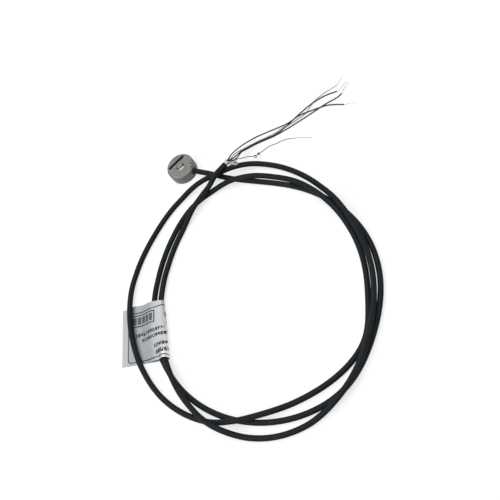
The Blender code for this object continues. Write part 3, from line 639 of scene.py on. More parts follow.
def cable_points(distances):
    """Points of the cable's axis at distances along its plan, with the height eased in between."""
    line, along = smooth_line(CABLE_ROUTE, CABLE_SAMPLES)
    stations, heights = np.array(CABLE_HEIGHTS).T
    k = np.clip(np.searchsorted(stations, distances, side="right") - 1, 0, len(stations) - 2)
    share = np.clip((distances - stations[k]) / (stations[k + 1] - stations[k]), 0, 1)
    z = heights[k] + (heights[k + 1] - heights[k]) * share**2 * (3 - 2 * share)
    x = np.interp(distances, along, line[:, 0])
    y = np.interp(distances, along, line[:, 1])
    return np.stack([x, y, z], axis=1)


def cable_end():
    """Distance of the jacket's cut end, its place and its heading."""
    total = smooth_line(CABLE_ROUTE, CABLE_SAMPLES)[1][-1]
    near, end = cable_points(np.array([total - 0.001, total]))
    return total, Vector(end), Vector(end - near).normalized()


def round_curve(name, points, radius, resolution):
    """A curve of one open spline with a round section, closed at both ends."""
    curve = bpy.data.curves.new(name, "CURVE")
    curve.dimensions = "3D"
    curve.bevel_depth = radius
    curve.bevel_resolution = resolution
    curve.use_fill_caps = True
    spline = curve.splines.new("POLY")
    spline.points.add(len(points) - 1)
    for spot, point in zip(spline.points, points):
        spot.co = (*point, 1)
    spline.use_smooth = True
    return link(name, curve)


def carried_frames(points):
    """Unit headings of a path and a side direction carried along it without twist."""
    headings = np.gradient(points, axis=0)
    headings /= np.linalg.norm(headings, axis=1)[:, None]
    side = np.cross(headings[0], (0, 0, 1))
    sides = []
    for heading in headings:
        side = side - heading * (side @ heading)
        side = side / np.linalg.norm(side)
        sides.append(side)
    sides = np.array(sides)
    return headings, sides, np.cross(sides, headings)


def swept(name, points, radius_at, segments):
    """A closed mesh round a path; radius_at gives the radius at a distance and an angle."""
    _, sides, ups = carried_frames(points)
    work = bmesh.new()
    rings = []
    for point, side, up, distance in zip(points, sides, ups, measured(points)):
        ring = []
        for i in range(segments):
            angle = 2 * math.pi * i / segments
            reach = radius_at(distance, angle)
            spot = point + (side * math.cos(angle) + up * math.sin(angle)) * reach
            ring.append(work.verts.new(spot))
        rings.append(ring)
    skin(work, rings)
    return mesh_piece(name, work, 60)


def stranded(radius, ripple, distance, angle):
    """Radius of a wire of twisted strands at a distance along it and an angle round it."""
    turn = STRANDS * (angle + 2 * math.pi * distance / STRAND_TWIST)
    return radius * (1 - ripple + ripple * math.cos(turn))


def skin(work, rings):
    """Closes a row of rings into one body: sides between neighbours and a cap at each end."""
    for ring, following in zip(rings, rings[1:]):
        for i, vertex in enumerate(ring):
            j = (i + 1) % len(ring)
            work.faces.new((vertex, ring[j], following[j], following[i]))
    work.faces.new(list(reversed(rings[0])))
    work.faces.new(rings[-1])


def arc(centre, radius, start, end, steps):
    angles = np.radians(np.linspace(start, end, steps + 1))
    return [(centre[0] + radius * math.cos(a), centre[1] + radius * math.sin(a)) for a in angles]


def eased(profile, ease, steps=3):
    """Rounds each inner corner of a profile by a small curve of the given reach."""
    points = [Vector(point) for point in profile]
    result = [points[0]]
    for before, corner, after in zip(points, points[1:], points[2:]):
        back, ahead = before - corner, after - corner
        reach = min(ease, back.length * 0.45, ahead.length * 0.45)
        if back.angle(ahead) > math.radians(165):
            result.append(corner)
            continue
        start = corner + back.normalized() * reach
        end = corner + ahead.normalized() * reach
        for i in range(steps + 1):
            t = i / steps
            result.append(start * (1 - t) ** 2 + corner * 2 * t * (1 - t) + end * t**2)
    return result + [points[-1]]


def turned(name, profile, steps):
    """Turns a profile of (radius, height) points about Z; it runs down its outer side."""
    work = bmesh.new()
    closed = profile[0][0] > ON_AXIS
    rings = []
    for radius, height in profile:
        if radius < ON_AXIS:
            rings.append([work.verts.new((0, 0, height))])
            continue
        angles = [2 * math.pi * i / steps for i in range(steps)]
        rings.append([
            work.verts.new((radius * math.cos(a), radius * math.sin(a), height)) for a in angles
        ])
    pairs = list(zip(rings, rings[1:]))
    if closed:
        pairs.append((rings[-1], rings[0]))
    for upper, lower in pairs:
        for i in range(steps):
            j = (i + 1) % steps
            around = ((upper, i), (lower, i), (lower, j), (upper, j))
            corners = list(dict.fromkeys(ring[k % len(ring)] for ring, k in around))
            if len(corners) > 2:
                work.faces.new(corners)
    return mesh_piece(name, work, 30)


def cut(obj, cutter):
    boolean = obj.modifiers.new(cutter.name, "BOOLEAN")
    boolean.operation = "DIFFERENCE"
    boolean.object = cutter


def settle(obj):
    """Applies the cuts and removes their tools."""
    graph = bpy.context.evaluated_depsgraph_get()
    mesh = bpy.data.meshes.new_from_object(obj.evaluated_get(graph))
    cutters = [step.object for step in obj.modifiers]
    obj.modifiers.clear()
    obj.data = mesh
    mesh.shade_smooth()
    mesh.set_sharp_from_angle(angle=math.radians(30))
    for cutter in cutters:
        bpy.data.objects.remove(cutter, do_unlink=True)
    return obj


def body_profile():
    """Half section of the body, from the button's centre round to the gauge pocket's roof."""
    groove_floor = FACE - GROOVE_DEPTH
    upper = [(0, CROWN)]
    upper += arc((BUTTON_R - BUTTON_EDGE, CROWN - BUTTON_EDGE), BUTTON_EDGE, 90, 0, 6)
    upper += arc((GROOVE_FLOOR_R, groove_floor + GROOVE_FILLET), GROOVE_FILLET, 180, 270, 5)
    upper += arc((GROOVE_FLOOR_R, FACE), GROOVE_DEPTH, 270, 315, 4)[1:]
    lower = [
        (GROOVE_R, FACE), (BODY_R - RIM_CHAMFER, FACE), (BODY_R, FACE - RIM_CHAMFER),
        (BODY_R, BASE_CHAMFER), (BODY_R - BASE_CHAMFER, 0), (SEAT_R, 0), (SEAT_R, SEAT_HEIGHT),
        (CHAMBER_R, SEAT_HEIGHT), (CHAMBER_R, CHAMBER_ROOF), (POCKET_R, CHAMBER_ROOF),
        (POCKET_R, POCKET_ROOF), (0, POCKET_ROOF),
    ]
    return upper + [tuple(point) for point in eased([upper[-1]] + lower, EASE)[1:]]


def slot_cutter():
    """The end mill's path with a broken edge at the face."""
    half = SLOT_LENGTH / 2 - SLOT_WIDTH / 2
    work = bmesh.new()
    rings = []
    for height in (SLOT_FLOOR, FACE - SLOT_BREAK, FACE, FACE + 0.001):
        reach = SLOT_WIDTH / 2 + max(0, height - FACE + SLOT_BREAK)
        ring = []
        for end in (1, -1):
            for step in range(25):
                angle = math.radians(-90 + 7.5 * step) + (0 if end > 0 else math.pi)
                spot = (end * half + reach * math.cos(angle), reach * math.sin(angle), height)
                ring.append(work.verts.new(spot))
        rings.append(ring)
    skin(work, rings)
    cutter = mesh_piece("slot_mill", work)
    cutter.location = towards(SLOT_SIDE, 0) * SLOT_OFFSET
    cutter.rotation_euler = (0, 0, SLOT_SIDE - math.pi / 2)
    return cutter


def cone_cutter(name, low_r, high_r, depth, sides):
    work = bmesh.new()
    bmesh.ops.create_cone(
        work, cap_ends=True, segments=sides, radius1=low_r, radius2=high_r, depth=depth,
    )
    return mesh_piece(name, work)


def bore_cutter(name, radius, start):
    reach = BODY_R * 1.2 - start
    cutter = cone_cutter(name, radius, radius, reach, 64)
    cutter.rotation_euler = (0, math.pi / 2, 0)
    cutter.location = (start + reach / 2, 0, EXIT_HEIGHT)
    return cutter


def towards(side, rise):
    """Unit vector at an angle round Z and an angle above the floor."""
    flat = math.cos(rise)
    return Vector((flat * math.cos(side), flat * math.sin(side), math.sin(rise)))


def aim(obj, target, back, distance, roll=0):
    """Puts a camera or lamp at a distance back from its target, turned to look at it."""
    turn = back.to_track_quat("Z", "Y").to_matrix() @ Matrix.Rotation(roll, 3, "Z")
    obj.matrix_world = Matrix.Translation(Vector(target) + back * distance) @ turn.to_4x4()


def looked_at(tree):
    """1 for rays that look at a surface, also by a reflection or through glass, and 0 for light."""
    ray = tree.nodes.new("ShaderNodeLightPath").outputs
    seen = ray["Is Camera Ray"]
    for kind in ("Is Glossy Ray", "Is Transmission Ray"):
        either = tree.nodes.new("ShaderNodeMath")
        either.operation = "MAXIMUM"
        tree.links.new(seen, either.inputs[0])
        tree.links.new(ray[kind], either.inputs[1])
        seen = either.outputs[0]
    return seen


def body_metal(look):
    """Fine turned metal: faint tool marks, mottling, painted shade on the rim chamfer and in and
    beside the slot, and painted shade and highlight round the button.
    """
    finish = Finish("turned_body_metal")
    parts = finish.place()
    height = parts["Z"]
    radius = finish.away(parts["X"], parts["Y"])
    mottle = finish.noise(420, 4, 0.6)
    speckle = finish.noise(680, 3, 0.6)
    grain = finish.noise(5200, 3, 0.7)

    def metal(factor):
        return shade(look.metal, factor)

    colour = finish.blend(finish.spread(mottle, 0, 1, 0.38, 0.62), metal(0.76), metal(1.32))
    colour = finish.blend(finish.spread(speckle, 0, 0.85, 0.42, 0.60), colour, metal(0.58))
    colour = finish.blend(finish.spread(grain, 0, 0.35), colour, metal(1.3))

    # Painted shade on the button's side and in the groove, and a painted highlight arc on one side
    # of the groove
    painted_shade_button_side = finish.product(
        finish.within(height, GROOVE_TOP, CROWN - BUTTON_EDGE),
        finish.math("LESS_THAN", radius, GROOVE_FLOOR_R), 0.92,
    )
    colour = finish.blend(painted_shade_button_side, colour, metal(0.12))
    near_button = finish.math("LESS_THAN", radius, GROOVE_R)
    painted_shade_groove = finish.product(finish.within(height, GROOVE_BOTTOM, GROOVE_TOP), near_button, 0.75)
    colour = finish.blend(painted_shade_groove, colour, metal(0.25))
    painted_highlight = finish.near_point(parts, HIGHLIGHT_FROM_AXIS, HIGHLIGHT_ANGLE, *HIGHLIGHT_FADE)
    below = finish.math("LESS_THAN", height, HIGHLIGHT_TOP)
    colour = finish.blend(finish.product(painted_highlight, below, near_button), colour, PAINTED_HIGHLIGHT)

    # Painted shade on the rim chamfer
    at_rim = finish.math("GREATER_THAN", radius, BODY_R - RIM_CHAMFER * 0.9)
    high = finish.math("GREATER_THAN", height, FACE - RIM_CHAMFER * 1.1)
    colour = finish.blend(finish.product(at_rim, high), colour, tuple(look.edge))

    # A stain near the rim, and painted shade in and round the punched dot
    stain = finish.near_point(parts, STAIN_FROM_AXIS, STAIN_ANGLE, *STAIN_FADE)
    stain = finish.product(stain, finish.spread(finish.noise(1800, 3), 0.6, 1.0))
    colour = finish.blend(stain, colour, metal(0.28))
    dot = finish.near_point(parts, DOT_FROM_AXIS, DOT_ANGLE, DOT_R * 1.6, DOT_R * 2.3)
    colour = finish.blend(finish.product(dot, 0.85), colour, DOT_SHADE)

    # Painted shade on the slot's walls and floor, and a band of painted shade beside it
    x, y = math.cos(SLOT_SIDE), math.sin(SLOT_SIDE)
    offset, from_middle = (
        finish.math("ADD", finish.product(parts["X"], a), finish.product(parts["Y"], b))
        for a, b in ((x, y), (-y, x))
    )
    from_middle = finish.math("ABSOLUTE", from_middle)
    beside = finish.math("ABSOLUTE", finish.math("SUBTRACT", offset, SLOT_OFFSET))
    edge = SLOT_WIDTH / 2 + SLOT_BREAK
    painted_shade_beside_slot = finish.product(
        finish.spread(beside, 0.7, 0, edge, edge + SLOT_SHADE_REACH),
        finish.math("LESS_THAN", from_middle, SLOT_LENGTH / 2),
    )
    colour = finish.blend(painted_shade_beside_slot, colour, metal(0.12))
    in_slot = finish.product(
        finish.math("LESS_THAN", beside, SLOT_WIDTH / 2 + SLOT_BREAK * 1.05),
        finish.within(height, SLOT_FLOOR - 0.0001, FACE - SLOT_BREAK * 0.1),
        finish.math("LESS_THAN", radius, BODY_R - RIM_CHAMFER),
    )
    colour = finish.blend(in_slot, colour, SLOT_SHADE)
    finish.drive("Base Color", colour)

    finish.set(Metallic=look.metallic)
    rough = finish.spread(mottle, look.roughness - 0.07, look.roughness + 0.10)
    finish.drive("Roughness", finish.math("MAXIMUM", rough, finish.product(in_slot, 0.75)))

    # Tool marks: fine rings with a grain over them
    rings = finish.math("SINE", finish.product(radius, 2 * math.pi / TOOL_MARK_PITCH))
    finish.bump(finish.math("ADD", finish.product(rings, 0.35), grain), 0.000004, 0.6)
    return finish.material


def turned_plate_metal(look):
    """Faced plate: mottled, with rings from the tool."""
    finish = Finish("faced_cover_metal")
    parts = finish.place()
    mottle = finish.noise(300, 3, 0.6)
    light, dark = shade(look.metal, 1.3), shade(look.metal, 0.95)
    finish.drive("Base Color", finish.blend(finish.spread(mottle, 0, 1), dark, light))
    finish.set(Metallic=0.8)
    finish.drive("Roughness", finish.spread(mottle, 0.3, 0.45))
    radius = finish.away(parts["X"], parts["Y"])
    rings = finish.math("SINE", finish.product(radius, 2 * math.pi / COVER_MARK_PITCH))
    finish.bump(rings, 0.000006, 0.5)
    return finish.material


def moulded(
    name, colour, roughness, grain=2600, relief=0.000006, variation=0.18, clear=0.0, specular=0.5,
):
    """Plastic or rubber: faint blotches, a fine grain and a little change of gloss."""
    finish = Finish(name)
    blotch = finish.spread(finish.noise(160, 3, 0.55), 0, 1)
    fine = finish.noise(grain, 3, 0.65)
    dark, light = shade(colour, 1 - variation), shade(colour, 1 + variation)
    finish.drive("Base Color", finish.blend(blotch, dark, light))
    finish.drive("Roughness", finish.spread(fine, roughness - 0.06, roughness + 0.08))
    finish.set(Coat_Weight=clear, Coat_Roughness=0.25, Specular_IOR_Level=specular)
    finish.bump(fine, relief, 0.5)
    return finish.material


def tinned(name, dark, light, metallic, clean=None):
    """Dull tinned copper, turning clean between two places along X if they are given."""
    finish = Finish(name)
    blotch = finish.noise(900, 3, 0.6)
    colour = finish.blend(finish.spread(blotch, 0, 1), dark, light)
    if clean:
        share = finish.spread(finish.place()["X"], 0, 1, *clean)
        colour = finish.blend(share, colour, CLEAN_TIN)
    finish.drive("Base Color", colour)
    finish.set(Metallic=metallic)
    finish.drive("Roughness", finish.spread(blotch, 0.42, 0.28))
    finish.bump(finish.noise(7000, 2), 0.00001, 0.5)
    return finish.material


def crinkled_foil():
    finish = Finish("screen_foil")
    crease = finish.noise(1500, 4, 0.7)
    finish.drive("Base Color", finish.blend(finish.spread(crease, 0, 1), *FOIL))
    finish.set(Metallic=0.85)
    finish.drive("Roughness", finish.spread(crease, 0.25, 0.5))
    finish.bump(crease, 0.00008, 0.8)
    return finish.material


class PrintedFinish(Finish):
    """The label's finish, with plain fields of ink at distances across and along the film."""

    def __init__(self, name):
        super().__init__(name)
        parts = self.node("ShaderNodeSeparateXYZ")
        self.join(self.node("ShaderNodeUVMap", uv_map="print").outputs[0], parts.inputs[0])
        self.across, self.along = parts.outputs[0], parts.outputs[1]

    def field(self, wide, long, along):
        """1 inside a plain rectangle of the print, 0 outside."""
        return self.product(self.within(self.across, *wide), self.within(along, *long))

    def dashes(self, pitch, share):
        """1 on the given share of every pitch, 0 in the gaps."""
        place = self.math("FRACT", self.math("DIVIDE", self.across, pitch))
        return self.math("LESS_THAN", place, share)

    def broken(self, along, wide, long):
        """1 in most cells of a fine grid, 0 in the others, by chance."""
        spot = self.node("ShaderNodeCombineXYZ")
        for axis, (place, size) in enumerate(((self.across, wide), (along, long))):
            self.join(self.math("FLOOR", self.math("DIVIDE", place, size)), spot.inputs[axis])
        dice = self.node("ShaderNodeTexWhiteNoise", noise_dimensions="2D")
        self.join(spot.outputs[0], dice.inputs["Vector"])
        return self.math("GREATER_THAN", dice.outputs["Value"], EMPTY_CELLS)

    def marks(self, start, stop, row, height, pitch):
        """A slightly tilted row of small plain marks, some of them missing by chance."""
        tilted = self.math("SUBTRACT", self.across, start)
        tilted = self.math("MULTIPLY_ADD", tilted, PRINT_TILT, self.along)
        return self.product(
            self.field((start, stop), (row - height / 2, row + height / 2), tilted),
            self.dashes(pitch, MARK_SHARE),
            self.broken(tilted, pitch / MARK_CELLS[0], height / MARK_CELLS[1]),
        )

    def frame_line(self, width):
        """The printed frame: a thin line with round corners, its far side round the fold."""
        rise = self.spread(self.across, 0, FRAME_RISE, *FRAME_RISING)
        rise = self.product(rise, self.spread(self.along, 1, 0, 0, LABEL_LENGTH))
        past = []
        for place, low, high in (
            (self.across, FRAME_LEFT, FRAME_RIGHT),
            (self.math("ADD", self.along, rise), FRAME_LOW, FRAME_HIGH),
        ):
            off = self.math("ABSOLUTE", self.math("SUBTRACT", place, (low + high) / 2))
            off = self.math("SUBTRACT", off, (high - low) / 2 - FRAME_CORNER)
            past.append(self.math("MAXIMUM", off, 0.0))
        off = self.math("ABSOLUTE", self.math("SUBTRACT", self.away(*past), FRAME_CORNER))
        return self.math("LESS_THAN", off, width / 2)


def printed_film(look):
    """Silver film with a thin rounded frame, one plain box and rows of short broken marks."""
    finish = PrintedFinish("printed_film")
    across = finish.across
    outside, inside, block = (
        finish.field(*sides, finish.along) for sides in (BOX_OUTSIDE, BOX_INSIDE, BLOCKS)
    )
    ink = finish.math("SUBTRACT", outside, inside)
    ink = finish.math("MAXIMUM", ink, finish.frame_line(look.line))
    block = finish.product(block, finish.dashes(BLOCK_PITCH, BLOCK_SHARE), BLOCK_INK)
    for layer in [block] + [finish.marks(*row) for row in PRINT_ROWS]:
        ink = finish.math("MAXIMUM", ink, layer)

    # Paler towards the fold, a painted sheen, and plain on its inner side behind the fold
    tone = finish.noise(70, 3, 0.5)
    dark, light = shade(look.film, 0.94), shade(look.film, 1.05)
    film = finish.blend(finish.spread(tone, 0, 1), dark, light)
    bent = finish.spread(across, 1, 0, *TURNED_UNDER)
    painted_light, sheen_at_fold = (
        finish.spread(across, 0, share, *place)
        for share, place in ((0.3, PAINTED_SHEEN), (0.6, PAINTED_SHEEN_AT_FOLD))
    )
    painted_light = finish.product(finish.math("ADD", painted_light, sheen_at_fold), bent)
    film = finish.blend(painted_light, film, PAINTED_SHEEN_COLOUR)
    behind = finish.math("GREATER_THAN", across, TURNED_UNDER[1])
    film = finish.blend(behind, film, tuple(look.back))
    ink = finish.product(ink, finish.math("SUBTRACT", 1.0, behind))
    finish.drive("Base Color", finish.blend(ink, film, tuple(look.ink)))

    polished = finish.product(
        finish.spread(across, 0.1, 0.85, *POLISHED), bent, finish.math("SUBTRACT", 1.0, ink),
    )
    finish.drive("Metallic", finish.math("MAXIMUM", polished, 0.1))
    finish.drive("Roughness", finish.spread(tone, 0.42, 0.54))
    finish.bump(finish.noise(260, 3, 0.6), 0.00006, 0.5)
    return finish.material


class LOADCELL_OT_stage(bpy.types.Operator):
    """Sets the camera at the photograph's angle, the plain floor, the lamps and the pale world"""

    bl_idname = "loadcell.stage"
    bl_label = "Set the stage"

    def execute(self, context):
        look = looks()[3]
        self.camera()
        self.floor(look)
        self.lamps(look)
        self.world(look)
        context.scene.view_settings.view_transform = "Standard"
        return {"FINISHED"}

    def camera(self):
        data = bpy.data.cameras.new("camera")
        data.lens = LENS
        data.sensor_width = SENSOR
        data.clip_start = 0.01
        data.clip_end = 20
        camera = link("camera", data)
        back = towards(CAMERA_SIDE, CAMERA_RISE)
        aim(camera, CAMERA_AIM, back, CAMERA_DISTANCE, CAMERA_ROLL)
        bpy.context.scene.camera = camera

    def floor(self, look):
        """A plain floor that keeps its shadows and looks white further out."""
        work = bmesh.new()
        bmesh.ops.create_grid(work, x_segments=1, y_segments=1, size=FLOOR_SIZE / 2)
        floor = mesh_piece("floor", work)
        floor.location.z = -FLOOR_DROP
        finish = Finish("pale_floor")
        pale = tuple(look.floor)
        finish.drive("Base Color", finish.blend(finish.noise(3, 2), shade(pale, 0.995), pale))
        finish.set(Roughness=0.9, Specular_IOR_Level=0.1)
        near = finish.near_point(finish.place(), LOOPS_FROM_CELL, LOOPS_SIDE, *GLOW_FADE)
        self.seen_white(finish, finish.spread(near, 1.0, look.glow, 0, 1))
        floor.data.materials.append(finish.material)

    def seen_white(self, finish, strength):
        """Adds a little white light of its own to a surface, for rays that look at it directly."""
        glow = finish.node("ShaderNodeEmission")
        finish.join(finish.product(looked_at(finish.tree), strength), glow.inputs["Strength"])
        both = finish.node("ShaderNodeAddShader")
        finish.join(finish.shader.outputs[0], both.inputs[0])
        finish.join(glow.outputs[0], both.inputs[1])
        finish.join(both.outputs[0], finish.tree.nodes["Material Output"].inputs["Surface"])

    def lamps(self, look):
        for name, (size, side, rise, distance) in LAMPS.items():
            data = bpy.data.lights.new(name, "AREA")
            data.shape = "DISK"
            data.size = size
            data.energy = getattr(look, name)
            back = towards(math.radians(side), math.radians(rise))
            aim(link(name, data), LIT_POINT, back, distance)

    def world(self, look):
        """A pale sky that gives soft light and looks white."""
        world = bpy.data.worlds.new("pale_sky")
        bpy.context.scene.world = world
        world.use_nodes = True
        tree = world.node_tree
        sky = tree.nodes["Background"]
        sky.inputs["Color"].default_value = (1, 1, 1, 1)
        strength = tree.nodes.new("ShaderNodeMapRange")
        tree.links.new(looked_at(tree), strength.inputs["Value"])
        strength.inputs["To Min"].default_value = look.sky
        tree.links.new(strength.outputs[0], sky.inputs["Strength"])


class LOADCELL_OT_cable(bpy.types.Operator):
    """Lays the black jacket along its whole route"""

    bl_idname = "loadcell.cable"
    bl_label = "Lay the cable"

    def execute(self, context):
        look = looks()[1]
        points = cable_points(np.linspace(0, cable_end()[0], CABLE_STEPS))
        jacket = round_curve("cable_jacket_run", points, JACKET_R, 6)
        finish = moulded(
            "jacket_black", tuple(look.jacket), look.jacket_roughness, 3200, specular=0.08,
        )
        dress(jacket, finish, "cable_jacket", "cable_jacket")
        return {"FINISHED"}


class LOADCELL_OT_leads(bpy.types.Operator):
    """Makes the four insulated leads, their twisted tips, the drain wire and the foil wrap"""

    bl_idname = "loadcell.leads"
    bl_label = "Make the stripped end"

    def execute(self, context):
        look = looks()[1]
        end = cable_end()[1]
        metal = tinned("tinned_copper", *TIN, 0.9)
        for colour, route in LEAD_ROUTES.items():
            points = self.from_inside(evenly(route, LEAD_SPACING))
            lead = round_curve(f"lead_{colour}_run", points, LEAD_R, 4)
            name = f"insulation_{colour}"
            finish = moulded(name, tuple(getattr(look, colour)), 0.45, 3800, specular=0.3)
            dress(lead, finish, name, f"lead_{colour}")
            tip = self.twisted_tip(colour, points[-1])
            dress(tip, metal, "tinned_copper", f"tip_{colour}")
        self.drain(tinned("tarnished_tin", *TARNISHED_TIN, 0.4, CLEAN_DRAIN), end)
        self.foil()
        return {"FINISHED"}

    def from_inside(self, points):
        """Starts a lead inside the jacket's end, so that no gap shows there."""
        heading = points[0] - points[1]
        heading /= np.linalg.norm(heading)
        return np.concatenate([[points[0] + heading * LEAD_TUCK], points])

    def twisted_tip(self, colour, start):
        """The bare strands of one lead, tapered at their end."""
        points = evenly([tuple(start)] + TIP_ROUTES[colour], TIP_SPACING)
        length = TIP_SPACING * len(points)

        def radius_at(distance, angle):
            past = max(0, distance / length - TIP_TAPER_FROM) / (1 - TIP_TAPER_FROM)
            return stranded(TIP_R * (1 - TIP_TAPER * past), 0.07, distance, angle)

        return swept(f"tip_{colour}_strands", points, radius_at, 4 * STRANDS)

    def drain(self, metal, end):
        """The bare wire, with an open loop and a tight twist on its way."""
        base = evenly(DRAIN_ROUTE, DRAIN_SPACING)
        headings, sides, ups = carried_frames(base)
        along = np.arange(len(base)) * DRAIN_SPACING

        share = np.clip((along - TWIST_START) / TWIST_LENGTH, 0, 1)
        swell = TWIST_R * np.sin(np.pi * share) ** 0.5
        turn = 2 * np.pi * TWIST_TURNS * share
        growing = np.clip(along / DRAIN_STRAIGHT - 1, 0, 1)
        sway = DRAIN_SWAY * np.sin(along / DRAIN_WAVE) * growing
        base = base + sides * (swell * np.sin(turn) + sway)[:, None]
        base = base + ups * (swell * np.cos(turn))[:, None]

        spot = round(LOOP_PLACE / DRAIN_SPACING)
        around = np.linspace(0, 2 * np.pi, 40)[1:-1, None]
        loop = base[spot] + headings[spot] * LOOP_R * np.sin(around)
        loop = loop + sides[spot] * LOOP_R * (1 - np.cos(around))
        loop = loop + ups[spot] * LOOP_LIFT * around / (2 * np.pi)
        fading = np.clip(1 - (along - LOOP_PLACE) / LOOP_FADE, 0, 1)[:, None]
        lifted = base + ups * LOOP_LIFT * fading
        points = np.concatenate([base[: spot + 1], loop, lifted[spot:]])

        def radius_at(distance, angle):
            return stranded(DRAIN_R, 0.06, distance, angle)

        drain = swept("drain_wire_strands", points, radius_at, 14)
        dress(drain, metal, "tinned_copper", "drain_wire")

    def foil(self):
        """A thin crinkled wrap with a ragged mouth, torn into a tongue on its right side."""
        end, heading = cable_end()[1:]
        side = heading.cross(Vector((0, 0, 1))).normalized()
        up = side.cross(heading)
        dice = np.random.default_rng(7)
        crinkle = dice.normal(0, 1, (FOIL_ROWS + 1, FOIL_COLUMNS))
        tooth = dice.uniform(-1, 1, FOIL_COLUMNS)
        work = bmesh.new()
        grid = []
        for i in range(FOIL_ROWS + 1):
            share = i / FOIL_ROWS
            ring = []
            for j in range(FOIL_COLUMNS):
                angle = 2 * math.pi * j / FOIL_COLUMNS
                length = FOIL_LENGTH + FOIL_TUCK + FOIL_TOOTH * tooth[j] * share**3
                radius = FOIL_R + FOIL_CRINKLE * crinkle[i, j] + FOIL_FLARE * share**3
                radius += FOIL_LOBE * share * math.sin(FOIL_LOBES * angle)
                around = side * math.cos(angle) + up * math.sin(angle)
                spot = end + heading * (length * share - FOIL_TUCK) + around * radius
                ring.append(work.verts.new(spot))
            grid.append(ring)
        for lower, upper in zip(grid, grid[1:]):
            for j in range(FOIL_COLUMNS):
                k = (j + 1) % FOIL_COLUMNS
                work.faces.new((lower[j], lower[k], upper[k], upper[j]))
        self.tongue(work, grid[-1], heading, side, up, dice)
        foil = mesh_piece("foil_wrap", work, 180)
        thick = foil.modifiers.new("Film", "SOLIDIFY")
        thick.thickness = FOIL_FILM
        thick.offset = 0
        dress(foil, crinkled_foil(), "screen_foil", "shield_foil")

    def tongue(self, work, rim, heading, side, up, dice):
        """The torn strip: it leaves the wrap's right side forwards and sags a little."""
        ahead, aside, above = TONGUE_WAY
        way = (heading * ahead + side * aside + up * above).normalized()
        across = up.cross(way).normalized()
        columns = range(-TONGUE_COLUMNS, TONGUE_COLUMNS + 1)
        tooth = dice.uniform(-1, 1, len(columns))
        crinkle = dice.normal(0, 1, (TONGUE_ROWS, len(columns)))
        before = [rim[j] for j in columns]
        for i in range(1, TONGUE_ROWS + 1):
            share = i / TONGUE_ROWS
            row = []
            for k, j in enumerate(columns):
                off = j / TONGUE_COLUMNS
                length = TONGUE_LENGTH * (1 - TONGUE_ROUND * off * off) + TONGUE_TOOTH * tooth[k]
                place = rim[j].co + way * length * share
                spread = TONGUE_FLARE * off * share - TONGUE_CURL * max(0, -off) * share**0.5
                place += across * spread
                place -= up * TONGUE_SAG * share**2
                place += up * TONGUE_CRINKLE * crinkle[i - 1, k] * min(1, 3 * share)
                row.append(work.verts.new(place))
            for k in range(len(columns) - 1):
                work.faces.new((before[k], before[k + 1], row[k + 1], row[k]))
            before = row


